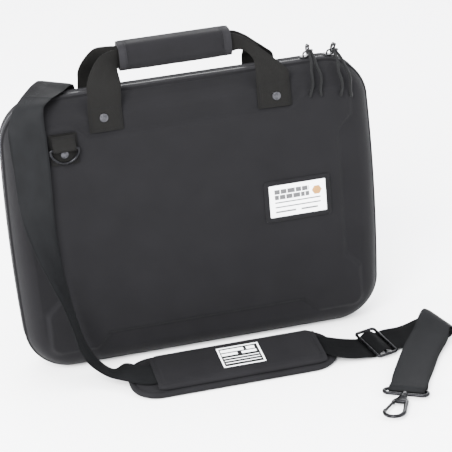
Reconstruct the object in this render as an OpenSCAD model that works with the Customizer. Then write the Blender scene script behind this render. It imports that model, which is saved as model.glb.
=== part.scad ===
// Hard-shell zip case for gaming miniatures: two moulded shells hinged along the bottom, a pair of
// webbing handles, foam compartments and a shoulder strap that lies over the case and on the ground.
// The case stands on its spine: X to the right, Y to the back, Z up, origin under the middle.

/* [Case] */
// Height of the case
case_h = 300; // [290:1:310]
// Half the width of the case where the straight sides meet the corners
side_x = 195.5; // [190:0.5:200]
// Extra bulge of each side at half height
side_bulge = 2.5; // [0:0.5:4]
// Radius of the four corners
corner_r = 48; // [44:1:52]
// Depth of the recessed face of one shell, from the parting plane
face_depth = 31; // [30:0.5:33]
// How far the raised panel stands out of that face
panel_rise = 3.2; // [2:0.2:4]
// Thickness of the moulded wall
wall_t = 3.5; // [3:0.1:4]

/* [Zip] */
// Depth of each zip tape, from the parting plane
tape_depth = 8.8; // [7:0.2:8.8]
// Half the length of the bottom spine that joins the shells
spine_half = 110; // [90:1:120]
// Place of the left slider along the top
slider_x = 136; // [120:1:140]
// Angle of the right slider around the top right corner
slider_turn = 16; // [12:1:20]

/* [Handles] */
// Thickness of the handle webbing
webbing_t = 2.2; // [1.8:0.1:2.4]
// Left end of the padded grip
grip_left = -64; // [-66:1:-60]
// Right end of the padded grip
grip_right = 54; // [50:1:56]

/* [Foam] */
// Thickness of the divider boards
board_t = 8; // [6:0.5:10]
// Distance from one upright board to the next
board_pitch = 72; // [70:1:74]

/* [Shoulder strap] */
// Thickness of the strap webbing
strap_t = 1.8; // [1.4:0.1:2]
// Length of the shoulder pad
pad_l = 222; // [210:1:226]
// Width of the shoulder pad
pad_w = 76; // [72:1:80]

/* [Hidden] */
round_fn = 48;
small_fn = 24;
gap = 0.2;
rim_gap = 0.2;
skin_t = 2;

shell_black = [0.20, 0.20, 0.21];
webbing_black = [0.17, 0.17, 0.16];
strap_black = [0.21, 0.23, 0.24];
nickel = [0.35, 0.35, 0.36];
foam_grey = [0.24, 0.24, 0.26];
label_white = [0.92, 0.93, 0.94];

// ---- outlines ----
corner_x = side_x - corner_r;
corner_low = corner_r;
corner_high = case_h - corner_r;
corner_steps = 8;
side_steps = 6;

function arc(cx, cz, r, from) =
    [for (i = [0:corner_steps]) let (a = from + 90 * i / corner_steps) [cx + r * cos(a), cz + r * sin(a)]];

// One bulging side, from t = 1 at the upper corner to t = -1 at the lower corner
function side(way, inset) =
    [for (i = [1:side_steps - 1]) let (t = way * (2 * i / side_steps - 1))
        [way * (side_x - inset + side_bulge * (1 - t * t)), case_h / 2 + t * (case_h / 2 - corner_r)]];

function outline(inset) = concat(
    arc(corner_x, corner_high, corner_r - inset, 0),
    arc(-corner_x, corner_high, corner_r - inset, 90),
    side(-1, inset),
    arc(-corner_x, corner_low, corner_r - inset, 180),
    arc(corner_x, corner_low, corner_r - inset, 270),
    side(1, inset)
);

// A drawing in X and Z given depth along Y, from y0 back to y1
module deep(y0, y1) {
    translate([0, y1, 0]) rotate([90, 0, 0]) linear_extrude(y1 - y0) children();
}

module slab(inset, y0, y1) {
    deep(y0, y1) polygon(outline(inset));
}

// ---- shells ----
rim_inset = skin_t + gap;
lip_depth = 11;
lip_t = 2;
face_inset = 21;
outer_profile = [[rim_gap, rim_inset], [lip_depth, rim_inset], [18, 4.6], [24, 8.4], [28.5, 13.5],
    [face_depth, face_inset]];
inner_profile = [[-1, rim_inset + wall_t], [14, 7], [22, 11.5], [face_depth - wall_t, 24]];
panel_inset = 24;
panel_x = side_x - panel_inset;
panel_corner = 12;
notch = 16;
notch_x = 122;
notch_low = 70;
notch_high = 243;

// The raised panel: corner lobes, with each side set back between them
function panel_outline() = concat(
    arc(panel_x - panel_corner, case_h - panel_inset - panel_corner, panel_corner, 0),
    [[notch_x, case_h - panel_inset], [notch_x - notch, case_h - panel_inset - notch],
        [-notch_x + notch, case_h - panel_inset - notch], [-notch_x, case_h - panel_inset]],
    arc(-panel_x + panel_corner, case_h - panel_inset - panel_corner, panel_corner, 90),
    [[-panel_x, notch_high], [-panel_x + notch, notch_high - notch],
        [-panel_x + notch, notch_low + notch], [-panel_x, notch_low]],
    arc(-panel_x + panel_corner, panel_inset + panel_corner, panel_corner, 180),
    [[-notch_x, panel_inset], [-notch_x + notch, panel_inset + notch],
        [notch_x - notch, panel_inset + notch], [notch_x, panel_inset]],
    arc(panel_x - panel_corner, panel_inset + panel_corner, panel_corner, 270),
    [[panel_x, notch_low], [panel_x - notch, notch_low + notch],
        [panel_x - notch, notch_high - notch], [panel_x, notch_high]]
);

module loft(profile) {
    hull() for (p = profile) slab(p[1], -p[0], -p[0] + 0.1);
}

module shell() {
    difference() {
        union() {
            loft(outer_profile);
            slab(0, -lip_depth, -lip_depth + lip_t);
            deep(-face_depth - panel_rise, -face_depth + 1) polygon(panel_outline());
        }
        loft(inner_profile);
    }
}

module front_shell() {
    color(shell_black) shell();
}

module rear_shell() {
    color(shell_black) mirror([0, 1, 0]) shell();
}

// ---- zip ----
module zip_band(outer, inner, depth0, depth1) {
    difference() {
        slab(outer, -depth1, -depth0);
        slab(inner, -depth1 - 1, -depth0 + 1);
        translate([-spine_half - 1, -depth1 - 2, -1]) cube([2 * spine_half + 2, depth1 + 4, 10]);
    }
}

chain_depth = 1.5;
module zip_tape_front() {
    color(webbing_black) zip_band(0, skin_t, chain_depth + 0.1, tape_depth);
}

module zip_tape_rear() {
    color(webbing_black) mirror([0, 1, 0]) zip_band(0, skin_t, chain_depth + 0.1, tape_depth);
}

module zip_chain_front() {
    color("dimgray") zip_band(0.4, skin_t, 0.15, chain_depth);
}

module zip_chain_rear() {
    color("dimgray") mirror([0, 1, 0]) zip_band(0.4, skin_t, 0.15, chain_depth);
}

module spine_hinge() {
    color(webbing_black) translate([-spine_half, -tape_depth, 0]) cube([2 * spine_half, 2 * tape_depth, 1.9]);
}

// A slider that rides on top of the chain, seen at the top middle with its foot at z = 0
plate_t = 1.4;
bail_h = 5.2;
bar_t = 1.5;
ring_r = 5.6;
ring_wire = 1.1;
ring_y = -2;
ring_z = 8.8;

module slider() {
    difference() {
        union() {
            translate([-8, -5, 0.5]) cube([16, 10, plate_t]);
            translate([-5, -1, 0.5 + plate_t]) cube([10, 2, bail_h]);
        }
        translate([-3, -3, 0.5 + plate_t + 0.01]) cube([6, 6, bail_h - bar_t]);
    }
}

module ring() {
    translate([0, ring_y, ring_z]) rotate([0, 90, 0])
        rotate_extrude($fn = round_fn) translate([ring_r, 0]) circle(ring_wire, $fn = small_fn);
}

module at_left_slider() {
    translate([slider_x, 0, case_h]) children();
}

module at_right_slider() {
    translate([corner_x, 0, corner_high]) rotate([0, slider_turn, 0]) translate([0, 0, corner_r]) children();
}

module zip_slider_left() {
    color(nickel) at_left_slider() slider();
}

module zip_slider_right() {
    color(nickel) at_right_slider() slider();
}

module zip_ring_left() {
    color(nickel) at_left_slider() ring();
}

module zip_ring_right() {
    color(nickel) at_right_slider() ring();
}

// ---- swept webbing and cord ----
function unit(v) = v / norm(v);
function mid(s) = (s[0] + s[1]) / 2;
function heading(run, i) = mid(run[min(i + 1, len(run) - 1)]) - mid(run[max(i - 1, 0)]);
function facing(run, i) = unit(cross(heading(run, i), run[i][1] - run[i][0]));

// A flat ribbon through stations [one edge, other edge]
module ribbon(run, t) {
    n = len(run);
    points = [for (i = [0:n - 1]) let (up = facing(run, i) * t / 2)
        each [run[i][0] + up, run[i][1] + up, run[i][1] - up, run[i][0] - up]];
    skins = [for (i = [0:n - 2]) for (k = [0:3]) let (a = 4 * i + k, b = 4 * i + (k + 1) % 4)
        each [[a, b + 4, a + 4], [a, b, b + 4]]];
    polyhedron(points, concat(skins, [[3, 2, 1, 0], [4 * n - 4, 4 * n - 3, 4 * n - 2, 4 * n - 1]]),
        convexity = 6);
}

// A round cord through the points of a route
module cord(route, d) {
    n = len(route);
    sides = 8;
    points = [for (i = [0:n - 1])
        let (t = unit(route[min(i + 1, n - 1)] - route[max(i - 1, 0)]),
            u = unit(cross(t, [1, 0.2, 0])),
            v = cross(t, u))
        for (k = [0:sides - 1]) route[i] + (u * cos(360 * k / sides) + v * sin(360 * k / sides)) * d / 2];
    skins = [for (i = [0:n - 2]) for (k = [0:sides - 1])
        let (a = sides * i + k, b = sides * i + (k + 1) % sides)
        each [[a, b + sides, b], [a, a + sides, b + sides]]];
    polyhedron(points, concat(skins, [[for (k = [0:sides - 1]) k]],
        [[for (k = [sides - 1:-1:0]) sides * (n - 1) + k]]), convexity = 6);
}

cord_d = 3;
cord_left_tail = [[135, -9.8, 309], [134.5, -14, 308.5], [134, -22, 304], [133, -30, 296], [130, -35.5, 284],
    [127, -37, 270]];
cord_right_tail = [[137, -9.8, 309], [137.5, -14, 308.5], [138, -22, 304], [138.5, -30, 296],
    [139.5, -35.5, 284], [140, -37, 269]];
module zip_cord_left() {
    color(strap_black) union() {
        cord(cord_left_tail, cord_d);
        cord(cord_right_tail, cord_d);
        translate([132.5, -12.5, 307]) cube([7, 4, 4]);
    }
}

cord2_left_tail = [[162, -9.8, 306], [162, -14, 305.5], [162, -22, 301], [161.5, -30.5, 293], [161, -36, 281],
    [160, -37, 266]];
cord2_right_tail = [[164, -9.8, 305.5], [165, -14, 304.5], [167, -22.5, 300], [169, -30, 291], [171, -34.5, 278],
    [173, -35.5, 263]];
module zip_cord_right() {
    color(strap_black) union() {
        cord(cord2_left_tail, cord_d);
        cord(cord2_right_tail, cord_d);
        translate([159.5, -12.5, 303.5]) cube([7, 4, 4]);
    }
}

// ---- handles ----
web_y = -face_depth - webbing_t / 2 - 0.1;
grip_y = -6.5;
handle_run = [
    [[-105, web_y, 264], [-70, web_y, 264]],
    [[-105, web_y, 291], [-70, web_y, 291]],
    [[-104, -31.5, 302], [-69, -31.5, 302]],
    [[-103, -28.5, 313], [-68, -28.5, 312]],
    [[-96, -22, 327], [-68, -22, 317]],
    [[-85, -16, 338], [-68, -15, 321]],
    [[-74, -9.5, 340.5], [-67, -9.5, 321]],
    [[-64, grip_y, 340.5], [-64, grip_y, 320.5]],
    [[0, grip_y, 340.5], [0, grip_y, 320.5]],
    [[54, grip_y, 340], [54, grip_y, 320.5]],
    [[61, -7.5, 338.5], [60, -7.5, 322]],
    [[71, -10, 333], [66, -10, 321]],
    [[85, -17, 321], [73, -17, 314]],
    [[98, -26, 309], [73, -26, 310]],
    [[106, -31.5, 301], [72.5, -31.5, 303]],
    [[107, web_y, 290], [72, web_y, 292]],
    [[108, web_y, 262], [72, web_y, 263]]
];
module handle_strap_front() {
    color(webbing_black) ribbon(handle_run, webbing_t);
}

module handle_strap_rear() {
    color(webbing_black) mirror([0, 1, 0]) ribbon(handle_run, webbing_t);
}

rivet_r = 4.6;
rivet_t = 1.5;
rivet_face = face_depth + webbing_t + 0.2;
module rivet(x, z, r, face) {
    color("silver") translate([x, -face, z]) rotate([90, 0, 0]) cylinder(r = r, h = rivet_t, $fn = small_fn);
}

left_rivet = [-89.5, 279];
right_rivet = [92, 274.5];
module handle_rivet_front_left() {
    rivet(left_rivet[0], left_rivet[1], rivet_r, rivet_face);
}

module handle_rivet_front_right() {
    rivet(right_rivet[0], right_rivet[1], rivet_r, rivet_face);
}

module handle_rivet_rear_left() {
    mirror([0, 1, 0]) rivet(left_rivet[0], left_rivet[1], rivet_r, rivet_face);
}

module handle_rivet_rear_right() {
    mirror([0, 1, 0]) rivet(right_rivet[0], right_rivet[1], rivet_r, rivet_face);
}

// The padded grip is a channel, open to the back, that the rear handle can leave
grip_low = 316.5;
grip_high = 344.5;
grip_t = 2.8;
grip_front = -12;
grip_back = 9;
flap_gap = 0.4;
flap_t = 2.4;
module along_grip() {
    translate([grip_left, 0, 0]) rotate([90, 0, 90]) linear_extrude(grip_right - grip_left) children();
}

module handle_wrap() {
    color(webbing_black) along_grip() difference() {
        union() {
            translate([grip_front + 5, grip_low]) square([grip_back - grip_front - 5, grip_high - grip_low]);
            translate([grip_front, grip_low + 5]) square([6, grip_high - grip_low - 10]);
            translate([grip_front + 5, grip_low + 5]) circle(5, $fn = round_fn);
            translate([grip_front + 5, grip_high - 5]) circle(5, $fn = round_fn);
        }
        translate([grip_front + grip_t, grip_low + grip_t])
            square([grip_back - grip_front, grip_high - grip_low - 2 * grip_t]);
    }
}

module grip_flap() {
    color(webbing_black) along_grip() translate([grip_back + flap_gap, grip_low])
        square([flap_t, grip_high - grip_low]);
}

// ---- D-rings ----
tab_x = -134;
tab_w = 29;
tab_low = 236;
tab_high = 269;
tab_t = 2;
panel_face = face_depth + panel_rise;
ring_bar_z = 254;
ring_bar_y = -panel_face - tab_t - 3.5;
d_wire = 1.6;
d_radius = 15;
d_bore = 1.7;
sleeve_r = 3.3;
sleeve_w = 24;
d_swing_rear = 24;
module d_ring_tab() {
    difference() {
        union() {
            translate([tab_x - tab_w / 2, -panel_face - tab_t, tab_low])
                cube([tab_w, tab_t - 0.05, tab_high - tab_low]);
            translate([tab_x - sleeve_w / 2, -panel_face - 2 * tab_t, ring_bar_z + 2])
                cube([sleeve_w, tab_t + 0.1, tab_high - ring_bar_z - 3]);
            translate([tab_x - sleeve_w / 2, ring_bar_y, ring_bar_z]) rotate([0, 90, 0])
                cylinder(r = sleeve_r, h = sleeve_w, $fn = round_fn);
        }
        translate([tab_x - sleeve_w, ring_bar_y, ring_bar_z]) rotate([0, 90, 0])
            cylinder(r = d_bore, h = 2 * sleeve_w, $fn = round_fn);
    }
}

module d_ring() {
    translate([tab_x, ring_bar_y, ring_bar_z]) {
        translate([-d_radius, 0, 0]) rotate([0, 90, 0]) cylinder(r = d_wire, h = 2 * d_radius, $fn = round_fn);
        rotate([-90, 0, 0]) rotate_extrude(angle = 180, $fn = round_fn)
            translate([d_radius, 0]) circle(d_wire, $fn = small_fn);
        for (end = [-1, 1]) translate([end * d_radius, 0, 0]) sphere(d_wire, $fn = small_fn);
    }
}

module swung(angle) {
    translate([0, ring_bar_y, ring_bar_z]) rotate([-angle, 0, 0]) translate([0, -ring_bar_y, -ring_bar_z])
        children();
}

module turned_round() {
    rotate([0, 0, 180]) children();
}

module d_ring_tab_front() {
    color(webbing_black) d_ring_tab();
}

module d_ring_front() {
    color(nickel) d_ring();
}

module d_ring_rivet_front() {
    rivet(tab_x, 247, 4, panel_face + tab_t + 0.05);
}

module d_ring_tab_rear() {
    color(webbing_black) turned_round() d_ring_tab();
}

module d_ring_rear() {
    color(nickel) turned_round() swung(d_swing_rear) d_ring();
}

module d_ring_rivet_rear() {
    turned_round() rivet(tab_x, 247, 4, panel_face + tab_t + 0.05);
}

// ---- label ----
label_x = 106.5;
label_z = 158.5;
label_w = 72;
label_h = 46;
label_border = 5;
label_rise = 2.4;
module label_frame() {
    color(shell_black) translate([label_x - label_w / 2, -panel_face - label_rise, label_z - label_h / 2])
        difference() {
            cube([label_w, label_rise - 0.05, label_h]);
            translate([label_border, -1, label_border])
                cube([label_w - 2 * label_border, label_rise + 2, label_h - 2 * label_border]);
        }
}

module label_card() {
    inset = label_border + 0.3;
    color(label_white) translate([label_x - label_w / 2 + inset, -panel_face - 1, label_z - label_h / 2 + inset])
        cube([label_w - 2 * inset, 0.9, label_h - 2 * inset]);
}

// ---- foam ----
board_front = -23.2;
board_back = -2.5;
board_half = 179.5;
board_low = 14.5;
row_z = [105, 195];
foam_base_inset = 24.5;
lap_gap = 0.15;
module foam_base() {
    color(foam_grey) slab(foam_base_inset, -27.2, -23.6);
}

module foam_row(z) {
    color(foam_grey) difference() {
        translate([-board_half, board_front, z - board_t / 2]) cube([2 * board_half, board_back - board_front, board_t]);
        for (i = [0:3]) translate([upright_x(i) - board_t / 2 - lap_gap, (board_front + board_back) / 2, z - board_t])
            cube([board_t + 2 * lap_gap, board_back - board_front, 2 * board_t]);
    }
}

function upright_x(i) = (i - 1.5) * board_pitch;

module foam_upright(i) {
    color(foam_grey) difference() {
        translate([upright_x(i) - board_t / 2, board_front, board_low])
            cube([board_t, board_back - board_front, case_h - 2 * board_low]);
        for (z = row_z) translate([upright_x(i) - board_t, board_front - 1, z - board_t / 2 - lap_gap])
            cube([2 * board_t, (board_back - board_front) / 2 + 1 + lap_gap, board_t + 2 * lap_gap]);
    }
}

module egg_crate_pad() {
    color(foam_grey) slab(foam_base_inset, 18.5, 27.2);
}

// ---- shoulder strap ----
// The shoulder pad lies on its front edge, with the edge nearer the case raised a little
pad_place = [9, -129, 0.3];
pad_tilt = 6;
strap_half = 19;
pad_strap_z = 8;
pad_strap_y = pad_w / 2;
function tilt(v, a) = [v[0], v[1] * cos(a) - v[2] * sin(a), v[1] * sin(a) + v[2] * cos(a)];
function spin(v, a) = [v[0] * cos(a) - v[1] * sin(a), v[0] * sin(a) + v[1] * cos(a), v[2]];
function pad_point(x, y) = pad_place + tilt([x, y, pad_strap_z], pad_tilt);
function pad_station(x) = [pad_point(x, pad_strap_y + strap_half), pad_point(x, pad_strap_y - strap_half)];

// The tri-glide: an oblong wire frame with a middle bar, its bars across the strap
glide_place = [163.5, -103.5, 9.4];
glide_spin = 17.5;
glide_tilt = 13;
function glide_point(x, y, z) = glide_place + spin(tilt([x, y, z], glide_tilt), glide_spin);
function glide_station(x, z) = [glide_point(x, strap_half - 1, z), glide_point(x, -strap_half + 1, z)];

// Stations are [inner edge, outer edge]; the route starts at the rear hook and ends at the tri-glide
rear_run = [
    [[153, 49, 172], [115, 49, 172]],
    [[153, 49, 186], [115, 49, 186]],
    [[153, 48, 188.6], [115, 48, 188.6]],
    [[153, 45.8, 189.6], [115, 45.8, 189.6]],
    [[153, 43.6, 188.6], [115, 43.6, 188.6]],
    [[153, 42.8, 186], [115, 42.8, 186]],
    [[152, 43.2, 168], [114, 42.8, 170]],
    [[141, 56, 147], [109, 41, 157]],
    [[114, 70, 132], [101, 38, 140]],
    [[78, 74.5, 124], [78, 37.5, 126]],
    [[40, 75, 120], [40, 37.5, 120]],
    [[0, 75, 126], [0, 37.5, 126]],
    [[-38, 74, 146], [-38, 37.5, 144]],
    [[-67, 70, 178], [-78, 38, 171]],
    [[-85, 61, 222], [-112, 42, 208]],
    [[-98, 49, 260], [-133, 43, 250]],
    [[-106, 39, 287], [-142, 39, 292]],
    [[-111, 20, 302], [-144, 28, 308]],
    [[-125, -4, 303.5], [-153, 16, 309]],
    [[-139, -25, 305], [-168, -5, 304]]
];
front_run = [
    [[-139, -25, 305], [-168, -5, 304]],
    [[-150, -38, 300], [-181, -24, 295]],
    [[-151.5, -40, 286], [-188, -37, 282]],
    [[-151, -40.5, 266], [-189, -40.5, 263]],
    [[-151, -41, 239], [-188, -42, 238]],
    [[-152, -41.5, 205], [-188, -46, 206]],
    [[-153, -42, 177], [-186, -60, 183]],
    [[-152, -42, 149], [-179, -68, 155]],
    [[-150, -42, 120], [-169, -74, 126]],
    [[-146, -42, 90], [-159, -78, 98]],
    [[-141, -42, 60], [-152, -79, 70]],
    [[-134, -42, 34], [-146, -78, 44]],
    [[-124, -43, 15], [-137, -77, 26]],
    [[-111, -50, 6], [-122, -85, 15]],
    [[-99, -62, 15.8], [-104, -99, 12.6]],
    pad_station(-90),
    pad_station(-84),
    pad_station(0),
    pad_station(97),
    [[112, -80, 15.5], [112, -119, 10]],
    [[126, -86, 13.4], [128, -123, 6.4]],
    glide_station(-17, -1.6),
    glide_station(-12.5, -3),
    glide_station(-9.5, -2.6),
    glide_station(-6, 0.6),
    glide_station(0, 3.1),
    glide_station(6, 0.6),
    glide_station(9.5, -2.6),
    glide_station(12.5, -3),
    glide_station(17, -2.4),
    [[194, -85, 14], [200, -121, 4.2]],
    [[210, -83, 17], [222, -114, 5.5]],
    [[226, -76.5, 20], [246, -105.5, 7.5]],
    [[227.5, -76, 21.2], [247.5, -105, 8.8]],
    [[225, -78, 22.4], [244.5, -107.5, 10]],
    [[204, -104, 13.4], [237, -122, 7]],
    [[184, -131, 7], [219, -147, 4]],
    [[169, -157, 4.4], [204, -174, 2.6]],
    [[157, -180, 2.6], [190, -199, 1.8]],
    [[149, -198, 1.4], [181, -219, 1.4]],
    [[146.8, -201.3, 1.4], [178.7, -222.3, 1.4]],
    [[145.5, -203.2, 2.3], [177.5, -224.1, 2.3]],
    [[145, -204, 4.5], [177, -224.9, 4.5]]
];
return_run = [
    [[145, -204, 4.5], [177, -224.9, 4.5]],
    [[145.5, -203.2, 6.7], [177.5, -224.1, 6.7]],
    [[146.8, -201.3, 7.6], [178.7, -222.3, 7.6]],
    [[149, -198, 7.5], [181, -219, 7.5]],
    [[157, -180, 6.8], [190, -199, 6.4]],
    [[169, -157, 7.8], [204, -174, 6.2]],
    [[184, -131, 10.4], [219, -147, 7.4]],
    [[204, -104.5, 16.6], [237, -122.5, 10.2]],
    [[227, -76, 25.6], [247, -105.5, 13.2]],
    [[231.5, -73, 21.5], [251, -102.5, 9]],
    [[228, -75, 16.4], [248.5, -104.5, 4.4]],
    [[210, -83.5, 13.6], [222, -114.5, 2]],
    [[196, -85.5, 11], [202, -121.5, 1.2]]
];

base_t = 6.4;
sleeve_low = 6.6;
sleeve_high = 12.4;
pad_end_r = 30;

module at_pad() {
    translate(pad_place) rotate([pad_tilt, 0, 0]) children();
}

module shoulder_pad_base() {
    color(webbing_black) at_pad() linear_extrude(base_t) hull()
        for (x = [-1, 1]) for (y = [pad_end_r, pad_w - pad_end_r])
            translate([x * (pad_l / 2 - pad_end_r), y]) circle(pad_end_r, $fn = 32);
}

sleeve_l = 180;
sleeve_x = 6;
sleeve_half = 30;
tunnel_half = 21;
module shoulder_pad_sleeve() {
    color(webbing_black) at_pad() difference() {
        translate([sleeve_x - sleeve_l / 2, pad_w / 2 - sleeve_half, sleeve_low])
            cube([sleeve_l, 2 * sleeve_half, sleeve_high - sleeve_low]);
        translate([sleeve_x - sleeve_l, pad_w / 2 - tunnel_half, sleeve_low - 1])
            cube([2 * sleeve_l, 2 * tunnel_half, 3.4 + 1]);
    }
}

module shoulder_pad_label() {
    color(label_white) at_pad() translate([-14, 17.5, sleeve_high + 0.05]) cube([48, 41, 0.5]);
}

glide_x = 11.5;
glide_y = 22.5;
glide_wire = 1.6;

module at_glide() {
    translate(glide_place) rotate([0, 0, glide_spin]) rotate([glide_tilt, 0, 0]) children();
}

module tri_glide_frame() {
    color(nickel) at_glide() {
        for (x = [-glide_x, glide_x]) translate([x, -glide_y, 0]) rotate([-90, 0, 0])
            cylinder(r = glide_wire, h = 2 * glide_y, $fn = small_fn);
        for (y = [-glide_y, glide_y]) translate([-glide_x, y, 0]) rotate([0, 90, 0])
            cylinder(r = glide_wire, h = 2 * glide_x, $fn = small_fn);
        for (x = [-glide_x, glide_x]) for (y = [-glide_y, glide_y]) translate([x, y, 0])
            sphere(glide_wire, $fn = small_fn);
    }
}

module tri_glide_bar() {
    color(nickel) at_glide() translate([0, -glide_y + glide_wire + 0.1, 0]) rotate([-90, 0, 0])
        cylinder(r = 1.4, h = 2 * (glide_y - glide_wire - 0.1), $fn = small_fn);
}

// ---- snap hooks, with the eye at the origin, the strap towards +Y and the jaw towards -Y ----
eye_half = 18;
eye_bend = 5;
eye_wire = 1.8;
post_r = 1.95;
post_bore = 2.02;
boss_r = 3.8;
jaw_y = -43;
jaw_r = 10;
jaw_wire = 2.2;
shoulder_y = -22;
shoulder_top = -10.6;
gate_x = -6.6;
gate_y = -23.5;
gate_l = 18.3;
gate_lean = atan((jaw_r + gate_x) / (gate_y - jaw_y));
module hook_eye() {
    difference() {
        union() {
            for (y = [-eye_bend, eye_bend]) translate([-eye_half, y, 0]) rotate([0, 90, 0])
                cylinder(r = eye_wire, h = 2 * eye_half, $fn = small_fn);
            for (way = [0, 180]) rotate([0, 0, way]) translate([eye_half, 0, 0]) rotate([0, 0, -90])
                rotate_extrude(angle = 180, $fn = round_fn) translate([eye_bend, 0])
                    circle(eye_wire, $fn = small_fn);
            translate([0, -10.3, 0]) rotate([-90, 0, 0]) cylinder(r = boss_r, h = 7, $fn = small_fn);
        }
        translate([0, -11, 0]) rotate([-90, 0, 0]) cylinder(r = post_bore, h = 9, $fn = small_fn);
    }
}

module hook_body() {
    translate([0, shoulder_top, 0]) rotate([-90, 0, 0]) cylinder(r = post_r, h = 6, $fn = small_fn);
    translate([0, -15, 0]) rotate([-90, 0, 0]) cylinder(r = 4.2, h = 15 + shoulder_top, $fn = small_fn);
    translate([-8.6, shoulder_y, -jaw_wire]) cube([17.2, 8, 2 * jaw_wire]);
    translate([0, jaw_y, 0]) rotate([0, 0, 180]) rotate_extrude(angle = 180, $fn = round_fn)
        translate([jaw_r, 0]) circle(jaw_wire, $fn = small_fn);
    translate([jaw_r, jaw_y, 0]) rotate([0, 0, gate_lean]) rotate([-90, 0, 0])
        cylinder(r = jaw_wire, h = shoulder_y - jaw_y + 2, $fn = small_fn);
    translate([-jaw_r, jaw_y, 0]) rotate([-90, 0, 0]) cylinder(r = jaw_wire, h = 1, $fn = small_fn);
}

module hook_gate() {
    translate([gate_x, gate_y, 0]) rotate([0, 0, -gate_lean]) translate([0, -gate_l, 0]) rotate([-90, 0, 0])
        cylinder(r = 1.6, h = gate_l, $fn = small_fn);
    translate([gate_x, gate_y - 0.4, -1.8]) cylinder(r = 1.7, h = 3.6, $fn = small_fn);
}

hook_place = [160, -216, 4.5];
hook_spin = -33.2;
module at_free_hook() {
    translate(hook_place) rotate([0, 0, hook_spin]) children();
}

// The rear hook hangs upside down from the rear D-ring, its jaw turned half across the ring
rear_hook_x = 134;
rear_hook_y = 45.8;
rear_hook_z = 191.4;
rear_jaw_turn = 50;
module at_rear_hook(turn) {
    translate([rear_hook_x, rear_hook_y, rear_hook_z]) rotate([0, 0, turn]) rotate([-90, 0, 0]) children();
}

module hook_eye_front() {
    color(nickel) at_free_hook() hook_eye();
}

module hook_body_front() {
    color(nickel) at_free_hook() hook_body();
}

module hook_gate_front() {
    color("gray") at_free_hook() hook_gate();
}

module hook_eye_rear() {
    color(nickel) at_rear_hook(0) hook_eye();
}

module hook_body_rear() {
    color(nickel) at_rear_hook(rear_jaw_turn) hook_body();
}

module hook_gate_rear() {
    color("gray") at_rear_hook(rear_jaw_turn) hook_gate();
}

module strap_rear_run() {
    color(strap_black) ribbon(rear_run, strap_t);
}

module strap_front_run() {
    color(strap_black) ribbon(front_run, strap_t);
}

module strap_return_run() {
    color(strap_black) ribbon(return_run, strap_t);
}

front_shell();
rear_shell();
zip_tape_front();
zip_tape_rear();
zip_chain_front();
zip_chain_rear();
spine_hinge();
zip_slider_left();
zip_ring_left();
zip_cord_left();
zip_slider_right();
zip_ring_right();
zip_cord_right();
handle_strap_front();
handle_strap_rear();
handle_rivet_front_left();
handle_rivet_front_right();
handle_rivet_rear_left();
handle_rivet_rear_right();
handle_wrap();
grip_flap();
d_ring_tab_front();
d_ring_front();
d_ring_rivet_front();
d_ring_tab_rear();
d_ring_rear();
d_ring_rivet_rear();
label_frame();
label_card();
foam_base();
foam_row(row_z[0]);  // foam_row_lower
foam_row(row_z[1]);  // foam_row_upper
foam_upright(0);  // foam_upright_1
foam_upright(1);  // foam_upright_2
foam_upright(2);  // foam_upright_3
foam_upright(3);  // foam_upright_4
egg_crate_pad();
strap_rear_run();
strap_front_run();
strap_return_run();
shoulder_pad_base();
shoulder_pad_sleeve();
shoulder_pad_label();
tri_glide_frame();
tri_glide_bar();
hook_eye_front();
hook_body_front();
hook_gate_front();
hook_eye_rear();
hook_body_rear();
hook_gate_rear();
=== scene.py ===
import math
import random

import bmesh
import bpy
import numpy as np
from mathutils import Matrix, Vector


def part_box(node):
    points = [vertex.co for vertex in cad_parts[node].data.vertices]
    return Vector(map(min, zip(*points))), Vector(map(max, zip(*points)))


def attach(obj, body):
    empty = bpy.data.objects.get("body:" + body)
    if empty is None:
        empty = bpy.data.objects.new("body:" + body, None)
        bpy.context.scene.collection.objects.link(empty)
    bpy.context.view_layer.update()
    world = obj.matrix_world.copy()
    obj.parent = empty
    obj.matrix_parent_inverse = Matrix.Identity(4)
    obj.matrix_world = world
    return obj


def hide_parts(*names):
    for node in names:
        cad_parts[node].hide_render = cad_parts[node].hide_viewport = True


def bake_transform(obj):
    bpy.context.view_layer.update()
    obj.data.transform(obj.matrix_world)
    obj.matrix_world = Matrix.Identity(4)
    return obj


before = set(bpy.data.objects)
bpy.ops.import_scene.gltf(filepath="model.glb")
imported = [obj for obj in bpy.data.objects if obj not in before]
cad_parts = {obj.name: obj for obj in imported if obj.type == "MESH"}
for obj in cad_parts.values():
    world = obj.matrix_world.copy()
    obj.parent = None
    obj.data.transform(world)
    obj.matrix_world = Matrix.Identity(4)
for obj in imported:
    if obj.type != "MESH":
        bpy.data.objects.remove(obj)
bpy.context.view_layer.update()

bl_info = {
    "name": "Miniature Carry Case",
    "version": (1, 0, 0),
    "blender": (4, 5, 0),
    "location": "View3D > Sidebar > Carry Case",
    "description": "Builds a hard-shell carry case with its strap, pulls, foam and fittings",
    "category": "Object",
}

MM = 0.001

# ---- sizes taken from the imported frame, in millimetres ----
SHELL_LOW, SHELL_HIGH = (v * 1000 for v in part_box("front_shell"))
CASE_H = SHELL_HIGH.z
CORNER_R = 48.0
SIDE_BULGE = 2.5
SIDE_X = SHELL_HIGH.x - SIDE_BULGE
PANEL_FACE = -SHELL_LOW.y
PANEL_RISE = 3.2
FACE_DEPTH = PANEL_FACE - PANEL_RISE
FACE_INSET = 21.0
MID_INSET = CASE_H / 2
SPINE_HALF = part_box("spine_hinge")[1].x * 1000
ARC_STEPS, TOP_STEPS, SIDE_STEPS = 24, 116, 84

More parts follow.
